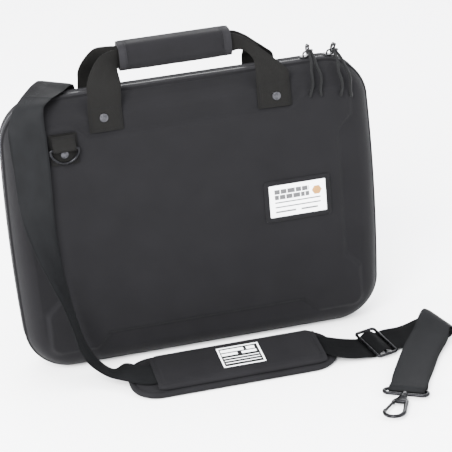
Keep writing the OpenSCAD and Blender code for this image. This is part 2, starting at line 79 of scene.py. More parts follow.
# ---- strap routes, stations of [inner edge, outer edge] ----
REAR_RUN = [
    [[153, 49, 172], [115, 49, 172]], [[153, 49, 186], [115, 49, 186]],
    [[153, 48, 188.6], [115, 48, 188.6]], [[153, 45.8, 189.6], [115, 45.8, 189.6]],
    [[153, 43.6, 188.6], [115, 43.6, 188.6]], [[153, 42.8, 186], [115, 42.8, 186]],
    [[152, 43.2, 168], [114, 42.8, 170]], [[141, 56, 147], [109, 41, 157]],
    [[114, 70, 132], [101, 38, 140]], [[78, 74.5, 124], [78, 37.5, 126]],
    [[40, 75, 120], [40, 37.5, 120]], [[0, 75, 126], [0, 37.5, 126]],
    [[-38, 74, 146], [-38, 37.5, 144]], [[-67, 70, 178], [-78, 38, 171]],
    [[-85, 61, 222], [-112, 42, 208]], [[-98, 49, 260], [-133, 43, 250]],
    [[-106, 39, 287], [-142, 39, 292]], [[-111, 20, 302], [-144, 28, 308]],
    [[-125, -4, 303.5], [-153, 16, 309]], [[-139, -25, 305], [-168, -5, 304]],
]
FRONT_START = [
    [[-139, -25, 305], [-168, -5, 304]], [[-150, -38, 300], [-181, -24, 295]],
    [[-151.5, -40, 286], [-188, -37, 282]], [[-151, -40.5, 266], [-189, -40.5, 263]],
    [[-151, -41, 239], [-188, -42, 238]], [[-152, -41.5, 205], [-188, -46, 206]],
    [[-153, -42, 177], [-186, -60, 183]], [[-152, -42, 149], [-179, -68, 155]],
    [[-150, -42, 120], [-169, -74, 126]], [[-146, -42, 90], [-159, -78, 98]],
    [[-141, -42, 60], [-152, -79, 70]], [[-134, -42, 34], [-146, -78, 44]],
    [[-124, -43, 15], [-137, -77, 26]], [[-111, -50, 6], [-122, -85, 15]],
    [[-99, -62, 15.8], [-104, -99, 12.6]],
]
FRONT_MIDDLE = [[[112, -80, 15.5], [112, -119, 10]], [[126, -86, 13.4], [128, -123, 6.4]]]
FRONT_END = [
    [[194, -85, 14], [200, -121, 4.2]], [[210, -83, 17], [222, -114, 5.5]],
    [[226, -76.5, 20], [246, -105.5, 7.5]], [[227.5, -76, 21.2], [247.5, -105, 8.8]],
    [[225, -78, 22.4], [244.5, -107.5, 10]], [[204, -104, 13.4], [237, -122, 7]],
    [[184, -131, 7], [219, -147, 4]], [[169, -157, 4.4], [204, -174, 2.6]],
    [[157, -180, 2.6], [190, -199, 1.8]], [[149, -198, 1.4], [181, -219, 1.4]],
    [[146.8, -201.3, 1.4], [178.7, -222.3, 1.4]], [[145.5, -203.2, 2.3], [177.5, -224.1, 2.3]],
    [[145, -204, 4.5], [177, -224.9, 4.5]],
]
RETURN_RUN = [
    [[145, -204, 4.5], [177, -224.9, 4.5]], [[145.5, -203.2, 6.7], [177.5, -224.1, 6.7]],
    [[146.8, -201.3, 7.6], [178.7, -222.3, 7.6]], [[149, -198, 7.5], [181, -219, 7.5]],
    [[157, -180, 6.8], [190, -199, 6.4]], [[169, -157, 7.8], [204, -174, 6.2]],
    [[184, -131, 10.4], [219, -147, 7.4]], [[204, -104.5, 16.6], [237, -122.5, 10.2]],
    [[227, -76, 25.6], [247, -105.5, 13.2]], [[231.5, -73, 21.5], [251, -102.5, 9]],
    [[228, -75, 16.4], [248.5, -104.5, 4.4]], [[210, -83.5, 13.6], [222, -114.5, 2]],
    [[196, -85.5, 11], [202, -121.5, 1.2]],
]
PAD_PLACE, PAD_TILT, PAD_HALF_W = (9.0, -129.0, 0.3), 6.0, 38.0
GLIDE_PLACE, GLIDE_SPIN, GLIDE_TILT = (163.5, -103.5, 9.4), 17.5, 13.0
WEB_Y = -FACE_DEPTH - 1.2
HANDLE_RUN = [
    [[-105, WEB_Y, 264], [-70, WEB_Y, 264]], [[-105, WEB_Y, 291], [-70, WEB_Y, 291]],
    [[-104, -31.5, 302], [-69, -31.5, 302]], [[-103, -28.5, 313], [-68, -28.5, 312]],
    [[-96, -22, 327], [-68, -22, 317]], [[-85, -16, 338], [-68, -15, 321]],
    [[-74, -9.5, 340.5], [-67, -9.5, 321]], [[-64, -6.5, 340.5], [-64, -6.5, 320.5]],
    [[0, -6.5, 340.5], [0, -6.5, 320.5]], [[54, -6.5, 340], [54, -6.5, 320.5]],
    [[61, -7.5, 338.5], [60, -7.5, 322]], [[71, -10, 333], [66, -10, 321]],
    [[85, -17, 321], [73, -17, 314]], [[98, -26, 309], [73, -26, 310]],
    [[106, -31.5, 301], [72.5, -31.5, 303]], [[107, WEB_Y, 290], [72, WEB_Y, 292]],
    [[108, WEB_Y, 262], [72, WEB_Y, 263]],
]
PULL_TAILS = {
    "left": [[[135, -9.8, 309], [134.5, -14, 308.5], [134, -22, 304], [133, -30, 296],
              [130, -35.5, 284], [127, -37, 270]],
             [[137, -9.8, 309], [137.5, -14, 308.5], [138, -22, 304], [138.5, -30, 296],
              [139.5, -35.5, 284], [140, -37, 269]]],
    "right": [[[162, -9.8, 306], [162, -14, 305.5], [162, -22, 301], [161.5, -30.5, 293],
               [161, -36, 281], [160, -37, 266]],
              [[164, -9.8, 305.5], [165, -14, 304.5], [167, -22.5, 300], [169, -30, 291],
               [171, -34.5, 278], [173, -35.5, 263]]],
}


# ---- geometry helpers, all in millimetres ----
def turned(points, angle, axis):
    """Points turned about an axis through the origin, in degrees."""
    turn = np.array(Matrix.Rotation(math.radians(angle), 3, axis))
    return np.asarray(points, float) @ turn.T


def smooth_line(points, step=3.0):
    """A smooth line through points, with a knot about every step."""
    p = np.asarray(points, float)
    flat = p.reshape(len(p), -1)
    middle = p.mean(axis=1) if p.ndim == 3 else p
    h = np.maximum(np.linalg.norm(np.diff(middle, axis=0), axis=1), 1e-6)[:, None]
    slope = np.diff(flat, axis=0) / h
    tangent = np.empty_like(flat)
    tangent[1:-1] = (h[:-1] * slope[1:] + h[1:] * slope[:-1]) / (h[:-1] + h[1:])
    tangent[0], tangent[-1] = slope[0], slope[-1]
    out = []
    for i in range(len(p) - 1):
        n = max(2, int(math.ceil(h[i, 0] / step)))
        for k in range(n):
            t = k / n
            out.append((2 * t**3 - 3 * t**2 + 1) * flat[i] + (t**3 - 2 * t**2 + t) * h[i] * tangent[i]
                       + (3 * t**2 - 2 * t**3) * flat[i + 1] + (t**3 - t**2) * h[i] * tangent[i + 1])
    out.append(flat[-1])
    return np.array(out).reshape((-1,) + p.shape[1:])


def lengths_along(points):
    return np.concatenate([[0], np.cumsum(np.linalg.norm(np.diff(points, axis=0), axis=1))])


def unit(v):
    return v / np.maximum(np.linalg.norm(v, axis=-1, keepdims=True), 1e-9)


def loft(rings, closed=True, wrap=False, caps=False):
    """Skin between loops of equal length. Returns points and faces."""
    count, n = len(rings), len(rings[0])
    faces = []
    for i in range(count if wrap else count - 1):
        a, b = i * n, ((i + 1) % count) * n
        for k in range(n if closed else n - 1):
            k2 = (k + 1) % n
            faces.append((a + k, a + k2, b + k2, b + k))
    if caps:
        faces.append(tuple(range(n - 1, -1, -1)))
        faces.append(tuple(range((count - 1) * n, count * n)))
    return np.concatenate([np.asarray(r, float) for r in rings]), faces


def joined(parts):
    """Several (points, faces, uv) parts as one."""
    points, faces, maps, start = [], [], [], 0
    for part in parts:
        p, f = part[0], part[1]
        points.append(p)
        maps.append(part[2] if len(part) > 2 else np.zeros((len(p), 2)))
        faces += [tuple(v + start for v in face) for face in f]
        start += len(p)
    return np.concatenate(points), faces, np.concatenate(maps)


def carried_frames(path, closed):
    """Directions across a path that don't twist along it."""
    if closed:
        tangent = unit(np.roll(path, -1, 0) - np.roll(path, 1, 0))
    else:
        tangent = unit(np.gradient(path, axis=0))
    start = np.array([0.0, 0.0, 1.0]) if abs(tangent[0][2]) < 0.9 else np.array([1.0, 0.0, 0.0])
    across = [unit(np.cross(tangent[0], start))]
    for t in tangent[1:]:
        across.append(unit(across[-1] - t * (across[-1] @ t)))
    across = np.array(across)
    return across, np.cross(tangent, across), tangent


def tube(path, radius, sides=14, closed=False, flat=1.0):
    """A round or flattened rod along a path, with rounded ends when it is open."""
    path = np.asarray(path, float)
    radius = np.broadcast_to(np.asarray(radius, float), (len(path),)).copy()
    if not closed:
        first, last = unit(path[0] - path[1]), unit(path[-1] - path[-2])
        r0, r1 = radius[0], radius[-1]
        path = np.concatenate([[path[0] + first * r0 * 0.9, path[0] + first * r0 * 0.55], path,
                               [path[-1] + last * r1 * 0.55, path[-1] + last * r1 * 0.9]])
        radius = np.concatenate([[r0 * 0.35, r0 * 0.8], radius, [r1 * 0.8, r1 * 0.35]])
    a, b, _ = carried_frames(path, closed)
    angles = np.arange(sides) * 2 * math.pi / sides
    rings = [p + r * (np.outer(np.cos(angles), u) + flat * np.outer(np.sin(angles), v))
             for p, r, u, v in zip(path, radius, a, b)]
    points, faces = loft(rings, wrap=closed, caps=not closed)
    run = lengths_along(path)
    uv = np.array([[k / sides * 2 * math.pi * radius.mean(), run[i]]
                   for i in range(len(path)) for k in range(sides)])
    return points, faces, uv


def turned_part(profile, sides=32):
    """A turned part about Z from (radius, height) pairs."""
    angles = np.arange(sides) * 2 * math.pi / sides
    rings = [np.stack([r * np.cos(angles), r * np.sin(angles), np.full(sides, float(z))], 1)
             for r, z in profile]
    return loft(rings, caps=True)


def rounded_loop(half_a, half_b, radius, arc=8, side_a=10, side_b=10):
    """A rounded rectangle, anticlockwise from its right side."""
    out = []
    corners = [(1, 1, 0), (-1, 1, 90), (-1, -1, 180), (1, -1, 270)]
    for i, (sx, sy, start) in enumerate(corners):
        cx, cy = sx * (half_a - radius), sy * (half_b - radius)
        for k in range(arc + 1):
            a = math.radians(start + 90 * k / arc)
            out.append((cx + radius * math.cos(a), cy + radius * math.sin(a)))
        nx, ny, after = corners[(i + 1) % 4]
        a = math.radians(after)
        end = (nx * (half_a - radius) + radius * math.cos(a), ny * (half_b - radius) + radius * math.sin(a))
        steps = side_a if i % 2 == 0 else side_b
        begin = out[-1]
        for k in range(1, steps):
            t = k / steps
            out.append((begin[0] + t * (end[0] - begin[0]), begin[1] + t * (end[1] - begin[1])))
    return np.array(out)


def pillow(half_a, half_b, radius, profile, arc=8, side_a=12, side_b=12):
    """A soft slab: loops set in by inset at each height, with a flat field in the middle."""
    rings = []
    narrow = min(half_a, half_b)
    for inset, height in profile:
        inset = min(inset, narrow * 0.8)
        left = max(0.0, 1 - inset / narrow)
        r = max(radius - inset, radius * 0.35 * left)
        loop = rounded_loop(half_a - inset, half_b - inset, r, arc, side_a, side_b)
        rings.append(np.column_stack([loop, np.full(len(loop), float(height))]))
    return loft(rings, caps=True)


def ribbon(run, thickness, across=9, step=3.0):
    """Webbing through stations [one edge, other edge]. Returns points, faces, uv and centre line."""
    s = smooth_line(run, step)
    middle = s.mean(axis=1)
    wide = s[:, 1] - s[:, 0]
    up = unit(np.cross(np.gradient(middle, axis=0), wide))
    along = lengths_along(middle)
    u = np.linspace(-1, 1, across)
    half = thickness / 2 * np.maximum(0.3, np.sqrt(1 - np.abs(u) ** 8 * 0.91))
    rings, maps = [], []
    for i in range(len(s)):
        line = middle[i] + np.outer(u / 2, wide[i])
        width = np.linalg.norm(wide[i])
        rings.append(np.concatenate([line + np.outer(half, up[i]), (line - np.outer(half, up[i]))[::-1]]))
        across_map = (u * 0.5 + 0.5) * width
        maps.append(np.column_stack([np.concatenate([across_map, across_map[::-1]]),
                                     np.full(2 * across, along[i])]))
    points, faces = loft(rings, caps=True)
    return points, faces, np.concatenate(maps), middle, up


def stitches(places, lift, pitch=3.4, length=2.3, radius=0.34):
    """A row of thread stitches along a line, lifted off the cloth by its outward direction."""
    places, lift = np.asarray(places, float), np.broadcast_to(np.asarray(lift, float), np.shape(places))
    along = lengths_along(places)
    parts = []
    for s in np.arange(pitch / 2, along[-1], pitch):
        i = min(np.searchsorted(along, s), len(places) - 1)
        j = max(i - 1, 0)
        t = (s - along[j]) / max(along[i] - along[j], 1e-6)
        at = places[j] + t * (places[i] - places[j])
        way = unit(places[i] - places[j])
        out = unit(lift[i])
        ends = [at + way * length * k for k in (-0.5, -0.2, 0.2, 0.5)]
        path = [e + out * radius * h for e, h in zip(ends, (-0.5, 0.6, 0.6, -0.5))]
        parts.append(tube(path, [radius * 0.7, radius, radius, radius * 0.7], sides=6, flat=1.0))
    return joined(parts)


def soft_step(x, low, high):
    t = np.clip((np.asarray(x, float) - low) / (high - low), 0, 1)
    return t * t * (3 - 2 * t)


def add_piece(name, part, finish, body=None, stands_for=(), sharp=50.0, merge=0.02):
    """Makes one mesh piece, in metres, and lets it ride on a body."""
    points, faces = np.asarray(part[0], float), part[1]
    uv = part[2] if len(part) > 2 else points[:, [0, 2]]
    mesh = bpy.data.meshes.new(name)
    mesh.from_pydata((points * MM).tolist(), [], faces)
    layer = mesh.uv_layers.new(name="UVMap")
    corners = np.empty(len(mesh.loops), np.int32)
    mesh.loops.foreach_get("vertex_index", corners)
    layer.data.foreach_set("uv", (uv[corners] * MM).astype(np.float32).ravel())
    bm = bmesh.new()
    bm.from_mesh(mesh)
    if merge:
        bmesh.ops.remove_doubles(bm, verts=bm.verts, dist=merge * MM)
    bmesh.ops.dissolve_degenerate(bm, edges=bm.edges, dist=1e-7)
    bmesh.ops.recalc_face_normals(bm, faces=bm.faces)
    for face in bm.faces:
        face.smooth = True
    for edge in bm.edges:
        if len(edge.link_faces) == 2 and edge.calc_face_angle(0.0) > math.radians(sharp):
            edge.smooth = False
    bm.to_mesh(mesh)
    bm.free()
    piece = bpy.data.objects.new(name, mesh)
    bpy.context.scene.collection.objects.link(piece)
    mesh.materials.append(finish)
    if body:
        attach(piece, body)
    if stands_for:
        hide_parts(*stands_for)
    return piece


# ---- case outline ----
def case_loop(inset, y):
    """One loop of the case outline set in by inset, at depth y, anticlockwise from the front."""
    if inset <= FACE_INSET:
        r = CORNER_R - inset
    else:
        r = (CORNER_R - FACE_INSET) * (1 - (inset - FACE_INSET) / (MID_INSET - FACE_INSET))
    half_x, half_z = SIDE_X - inset, CASE_H / 2 - inset
    loop = rounded_loop(half_x, half_z, max(r, 0.0), ARC_STEPS, TOP_STEPS, SIDE_STEPS)
    flat = max(half_z - r, 1e-6)
    t = np.clip(loop[:, 1] / flat, -1, 1)
    bulge = SIDE_BULGE * (1 - t * t) * float(1 - soft_step(inset, 20, 60))
    x = loop[:, 0] + np.sign(loop[:, 0]) * bulge * (np.abs(loop[:, 0]) > half_x - 1e-3)
    return np.column_stack([x, np.full(len(x), float(y)), loop[:, 1] + CASE_H / 2])


def corner_arc(cx, cz, r, start, steps=10):
    return [(cx + r * math.cos(math.radians(start + 90 * k / steps)),
             cz + r * math.sin(math.radians(start + 90 * k / steps))) for k in range(steps + 1)]


def panel_corners():
    """The raised panel's outline: a lobe at each corner, the sides set back between them."""
    inset, corner, notch, nx, low, high = 24, 12, 16, 122, 70, 243
    px = SIDE_X - inset
    top = CASE_H - inset
    return np.array(
        corner_arc(px - corner, top - corner, corner, 0)
        + [(nx, top), (nx - notch, top - notch), (-nx + notch, top - notch), (-nx, top)]
        + corner_arc(-px + corner, top - corner, corner, 90)
        + [(-px, high), (-px + notch, high - notch), (-px + notch, low + notch), (-px, low)]
        + corner_arc(-px + corner, inset + corner, corner, 180)
        + [(-nx, inset), (-nx + notch, inset + notch), (nx - notch, inset + notch), (nx, inset)]
        + corner_arc(px - corner, inset + corner, corner, 270)
        + [(px, low), (px - notch, low + notch), (px - notch, high - notch), (px, high)])


def inside_by(points, outline):
    """How far each point lies inside an outline; negative outside."""
    best = np.full(len(points), 1e9)
    crossings = np.zeros(len(points), int)
    for a, b in zip(outline, np.roll(outline, -1, 0)):
        d = b - a
        t = np.clip(((points - a) @ d) / max(d @ d, 1e-9), 0, 1)
        best = np.minimum(best, np.linalg.norm(points - a - t[:, None] * d, axis=1))
        if a[1] != b[1]:
            cut = (points[:, 1] > a[1]) != (points[:, 1] > b[1])
            x = a[0] + (points[:, 1] - a[1]) * d[0] / d[1]
            crossings += cut & (points[:, 0] < x)
    return np.where(crossings % 2 == 1, best, -best)


def shell_part(side):
    """One moulded half with its rim, edge piping, recessed face and raised panel."""
    wall = [(5.7, 0.2), (4.0, 0.15), (2.2, 0.25), (2.2, 9.0), (1.6, 8.95), (0.7, 9.05), (0.15, 9.45),
            (0.0, 10.0),
            (0.15, 10.55), (0.7, 10.95), (1.7, 11.05), (2.3, 11.4), (2.6, 13), (3.4, 15.5), (4.6, 18),
            (6.2, 21), (8.4, 24), (10.6, 26.3), (13.5, 28.4), (16.5, 29.8), (19, 30.6), (21, 31)]
    face = [(d, FACE_DEPTH) for d in np.arange(22.2, 62, 1.3)]
    face += [(d, FACE_DEPTH) for d in (66, 72, 80, 92, 106, 120, 130)]
    inner = [(6.2, 7), (7, 14), (9, 18), (11.5, 22), (15, 24.6), (21, 26.9), (25, 27.5), (60, 27.5),
             (110, 27.5), (130, 27.5)]
    outline = panel_corners()
    rings = []
    for d, depth in reversed(wall + face):
        ring = case_loop(d, -depth)
        if d > 17:
            rise = PANEL_RISE * soft_step(inside_by(ring[:, [0, 2]], outline), -2.4, 3.4)
            ring[:, 1] -= rise
        rings.append(ring)
    rings += [case_loop(d, -depth) for d, depth in inner]
    for ring in rings:
        ring[:, 1] *= side
    return loft(rings, caps=True)


def open_band(section, side=1, keep=SPINE_HALF + 0.6):
    """A band with a closed (inset, depth) section around the case, open along the spine."""
    rings = np.stack([case_loop(inset, -depth * side) for inset, depth in section], axis=1)
    base = case_loop(0, 0)
    in_gap = (base[:, 2] < 1) & (np.abs(base[:, 0]) < keep)
    first = int(np.argmax(in_gap & ~np.roll(in_gap, 1)))
    order = [(first + k) % len(base) for k in range(len(base))]
    path = [i for i in order if not in_gap[i]]
    stations = rings[path]
    start, end = stations[0].copy(), stations[-1].copy()
    start[:, 0], end[:, 0] = keep, -keep
    stations = np.concatenate([[start], stations, [end]])
    points, faces = loft(list(stations), caps=True)
    along = lengths_along(stations[:, 0])
    around = lengths_along(np.array([(a, b) for a, b in section]))
    uv = np.array([[around[k], along[i]] for i in range(len(stations)) for k in range(len(section))])
    return (points, faces, uv), stations


def outward(stations):
    """The outward direction in X and Z along a band's stations."""
    middle = stations.mean(axis=1)
    way = unit(np.gradient(middle, axis=0) * [1, 0, 1])
    return np.column_stack([way[:, 2], np.zeros(len(way)), -way[:, 0]])


# ---- materials ----
class Finish:
    """Builds one node material with short calls."""

    def __init__(self, name):
        self.material = bpy.data.materials.new(name)
        self.material.use_nodes = True
        self.tree = self.material.node_tree
        self.shader = self.tree.nodes["Principled BSDF"]

    def add(self, kind, settings=None, **inputs):
        node = self.tree.nodes.new(kind)
        for key, value in (settings or {}).items():
            setattr(node, key, value)
        for key, value in inputs.items():
            self.put(value, node.inputs[int(key[1:])] if key[0] == "i" and key[1:].isdigit() else node.inputs[key])
        return node

    def put(self, value, socket):
        if isinstance(value, bpy.types.NodeSocket):
            self.tree.links.new(value, socket)
        else:
            socket.default_value = value

    def math(self, operation, a, b=0.0):
        return self.add("ShaderNodeMath", {"operation": operation}, i0=a, i1=b).outputs[0]

    def coords(self, source):
        return self.add("ShaderNodeTexCoord").outputs[source]

    def noise(self, vector, scale, detail=3.0, rough=0.55):
        return self.add("ShaderNodeTexNoise", None, Vector=vector, Scale=scale, Detail=detail,
                        Roughness=rough).outputs["Fac"]

    def scaled(self, vector, factors):
        return self.add("ShaderNodeVectorMath", {"operation": "MULTIPLY"}, i0=vector, i1=factors).outputs[0]

    def remap(self, value, low, high, to_low, to_high):
        node = self.add("ShaderNodeMapRange", None, Value=value)
        for key, number in (("From Min", low), ("From Max", high), ("To Min", to_low), ("To Max", to_high)):
            node.inputs[key].default_value = number
        return node.outputs["Result"]

    def blend(self, factor, a, b):
        node = self.add("ShaderNodeMix", {"data_type": "RGBA"})
        self.put(factor, node.inputs[0])
        self.put(a, node.inputs[6])
        self.put(b, node.inputs[7])
        return node.outputs[2]

    def bump(self, height, strength, distance, below=None):
        node = self.add("ShaderNodeBump", None, Height=height, Strength=strength, Distance=distance)
        if below is not None:
            self.put(below, node.inputs["Normal"])
        return node.outputs["Normal"]

    def surface(self, **values):
        for key, value in values.items():
            self.put(value, self.shader.inputs[key.replace("_", " ")])
        return self.material


def shade(colour, factor):
    return (min(1, colour[0] * factor), min(1, colour[1] * factor), min(1, colour[2] * factor), 1.0)


def weave_height(f, vector, pitch):
    """Over-and-under weave of a plain cloth, from 0 to 1, whichever way the surface faces."""
    waves = f.add("ShaderNodeVectorMath", {"operation": "SINE"},
                  i0=f.scaled(vector, (2 * math.pi / pitch,) * 3)).outputs[0]
    parts = f.add("ShaderNodeSeparateXYZ", None, Vector=waves).outputs
    swapped = f.add("ShaderNodeCombineXYZ", None, X=parts[1], Y=parts[2], Z=parts[0]).outputs[0]
    both = f.add("ShaderNodeVectorMath", {"operation": "DOT_PRODUCT"}, i0=waves, i1=swapped).outputs[1]
    return f.remap(both, -1.0, 1.0, 0.0, 1.0)


def cloth_finish(name, colour, pitch=0.0007, source="Object", bump=0.35, rough=(0.72, 0.9), sheen=0.25,
                 spread=0.22, specular=0.03):
    """Woven synthetic cloth with yarn-scale relief, uneven dye, lint and a soft sheen."""
    f = Finish(name)
    at = f.coords(source)
    weave = weave_height(f, at, pitch)
    patches = f.noise(at, 28.0, 4.0)
    lint = f.noise(at, 1500.0, 2.0)
    tone = f.math("ADD", f.math("MULTIPLY", patches, 0.6), f.math("MULTIPLY", lint, 0.4))
    base = f.blend(f.remap(tone, 0.35, 0.65, 0.0, 1.0), shade(colour, 1 - spread), shade(colour, 1 + spread))
    # painted highlight: following the weave's relief, the colour is lighter on the crowns of the yarns
    base = f.blend(f.math("MULTIPLY", weave, 0.35), base, shade(colour, 1.5))
    relief = f.bump(patches, 0.12, 0.004)
    relief = f.bump(weave, bump, 0.00025, relief)
    f.surface(Base_Color=base, Roughness=f.remap(patches, 0.3, 0.7, rough[0], rough[1]), Normal=relief)
    return f.surface(Sheen_Weight=sheen, Sheen_Roughness=0.45, Specular_IOR_Level=specular)


def webbing_finish(name, colour, width, rib=0.0016, chevron=0.006, bump=0.5, rough=(0.6, 0.8), sheen=0.2,
                   specular=0.4, anisotropic=0.0, contrast=0.6, painted_light_ramp=(1.0, 1.0)):
    """Narrow woven webbing: slanted ribs that turn back at each band, and plain edges, with painted light: the
    colour can be lighter near the start of its length and darker further along.
    """
    f = Finish(name)
    uv = f.coords("UV")
    parts = f.add("ShaderNodeSeparateXYZ", None, Vector=uv).outputs
    zigzag = f.math("PINGPONG", parts[0], chevron)
    slant = f.math("ADD", parts[1], zigzag)
    ribs = f.math("MULTIPLY", f.math("SINE", f.math("MULTIPLY", slant, 2 * math.pi / rib)), 0.5)
    warp = f.math("MULTIPLY", f.math("SINE", f.math("MULTIPLY", parts[0], 2 * math.pi / 0.0011)), 0.5)
    relief = f.math("ADD", f.math("ADD", ribs, f.math("MULTIPLY", warp, 0.5)), 0.5)
    edge = f.math("ABSOLUTE", f.math("SUBTRACT", parts[0], width / 2))
    selvedge = f.remap(edge, width / 2 - 0.0024, width / 2 - 0.0016, 0.0, 1.0)
    patches = f.noise(f.scaled(uv, (1.0, 0.5, 1.0)), 70.0, 4.0)
    fibres = f.noise(f.scaled(uv, (3.0, 0.6, 1.0)), 900.0, 2.0)
    # partly painted shade and partly random tone: following the relief, the colour is darker in the rib valleys
    # and lighter on the rib crowns; the patches add uneven tone
    tone = f.remap(f.math("ADD", f.math("MULTIPLY", relief, contrast), f.math("MULTIPLY", patches, 0.8)),
                   0.2, 1.3, 0.0, 1.0)
    # painted light and shade: a lighter copy of the colour near the start of the length blends into a darker copy
    # between 0.25 m and 0.62 m along; the real webbing is one colour
    painted_lit_base, painted_shaded_base = (f.blend(tone, shade(colour, 0.66 * k), shade(colour, 1.42 * k)) for k in painted_light_ramp)
    base = f.blend(f.remap(parts[1], 0.25, 0.62, 0.0, 1.0), painted_lit_base, painted_shaded_base)
    base = f.blend(f.math("MULTIPLY", selvedge, 0.4), base, shade(colour, 0.7))
    normal = f.bump(fibres, 0.25, 0.0001)
    normal = f.bump(relief, bump, 0.0003, normal)
    f.surface(Base_Color=base, Roughness=f.remap(patches, 0.3, 0.7, rough[0], rough[1]), Normal=normal)
    return f.surface(Sheen_Weight=sheen, Sheen_Roughness=0.35, Specular_IOR_Level=specular,
                     Anisotropic=anisotropic)


def metal_finish(name, colour, rough=(0.18, 0.34)):
    """Plated metal with soft casting waves, faint scratches and dull spots."""
    f = Finish(name)
    at = f.coords("Object")
    cloud = f.noise(at, 260.0, 4.0)
    scratch = f.noise(f.scaled(at, (4.0, 0.4, 1.4)), 1400.0, 3.0)
    base = f.blend(f.remap(cloud, 0.35, 0.65, 0.0, 1.0), shade(colour, 0.8), shade(colour, 1.2))
    base = f.blend(f.remap(scratch, 0.62, 0.75, 0.0, 0.5), base, shade(colour, 1.9))
    normal = f.bump(cloud, 0.08, 0.001)
    normal = f.bump(scratch, 0.06, 0.0002, normal)
    f.surface(Base_Color=base, Roughness=f.remap(f.math("ADD", cloud, f.math("MULTIPLY", scratch, 0.4)),
                                                 0.5, 0.9, rough[0], rough[1]), Normal=normal)
    return f.surface(Metallic=1.0)


def foam_finish(name, colour):
    """Open-cell foam: pits of two sizes, matt all over."""
    f = Finish(name)
    at = f.coords("Object")
    cells = f.add("ShaderNodeTexVoronoi", {"feature": "F1"}, Vector=at, Scale=900.0).outputs["Distance"]
    fine = f.noise(at, 2200.0, 2.0)
    pits = f.remap(cells, 0.1, 0.7, 0.0, 1.0)
    # painted shade: the colour is darker in the hollows of the cells and lighter on the walls between them
    base = f.blend(pits, shade(colour, 0.5), shade(colour, 1.25))
    base = f.blend(f.remap(f.noise(at, 40.0), 0.3, 0.7, 0.0, 0.4), base, shade(colour, 0.8))
    normal = f.bump(fine, 0.3, 0.0002)
    normal = f.bump(pits, 0.7, 0.0005, normal)
    f.surface(Base_Color=base, Roughness=f.remap(fine, 0.3, 0.7, 0.88, 0.98), Normal=normal)
    return f.surface(Sheen_Weight=0.15, Specular_IOR_Level=0.2)


def print_finish(name, colour, rough=0.42, speck=0.06):
    """Printed film: even ink with a faint grain and a slight gloss."""
    f = Finish(name)
    at = f.coords("Object")
    grain = f.noise(at, 1800.0, 2.0)
    cloud = f.noise(at, 60.0, 3.0)
    base = f.blend(f.remap(grain, 0.3, 0.7, 0.0, 1.0), shade(colour, 1 - speck), shade(colour, 1.0))
    f.surface(Base_Color=base, Roughness=f.remap(cloud, 0.3, 0.7, rough, rough + 0.15),
              Normal=f.bump(grain, 0.12, 0.0001))
    return f.surface(Coat_Weight=0.15, Coat_Roughness=0.3)


def moulded_finish(name, colour, rough=(0.35, 0.5)):
    """Moulded nylon with a fine drawn grain."""
    f = Finish(name)
    at = f.coords("Object")
    grain = f.noise(at, 900.0, 3.0)
    base = f.blend(f.remap(grain, 0.3, 0.7, 0.0, 1.0), shade(colour, 0.7), shade(colour, 1.3))
    return f.surface(Base_Color=base, Roughness=f.remap(grain, 0.3, 0.7, rough[0], rough[1]),
                     Normal=f.bump(grain, 0.2, 0.0002))


def braid_finish(name, colour):
    """Braided cord: crossing strands along and around it."""
    f = Finish(name)
    parts = f.add("ShaderNodeSeparateXYZ", None, Vector=f.coords("UV")).outputs
    left = f.math("SINE", f.math("MULTIPLY", f.math("ADD", parts[0], parts[1]), 2 * math.pi / 0.0016))
    right = f.math("SINE", f.math("MULTIPLY", f.math("SUBTRACT", parts[0], parts[1]), 2 * math.pi / 0.0016))
    relief = f.remap(f.math("MULTIPLY", left, right), -1.0, 1.0, 0.0, 1.0)
    tone = f.noise(f.coords("Object"), 300.0)
    # painted shade: following the relief, the colour is darker in the grooves between the strands and lighter on
    # the raised strands
    base = f.blend(relief, shade(colour, 0.55), shade(colour, 1.4))
    base = f.blend(f.remap(tone, 0.3, 0.7, 0.0, 0.3), base, shade(colour, 0.8))
    f.surface(Base_Color=base, Roughness=f.remap(tone, 0.3, 0.7, 0.5, 0.7),
              Normal=f.bump(relief, 0.8, 0.0004))
    return f.surface(Sheen_Weight=0.01, Sheen_Roughness=0.4, Specular_IOR_Level=0.08)


FINISHES = {}


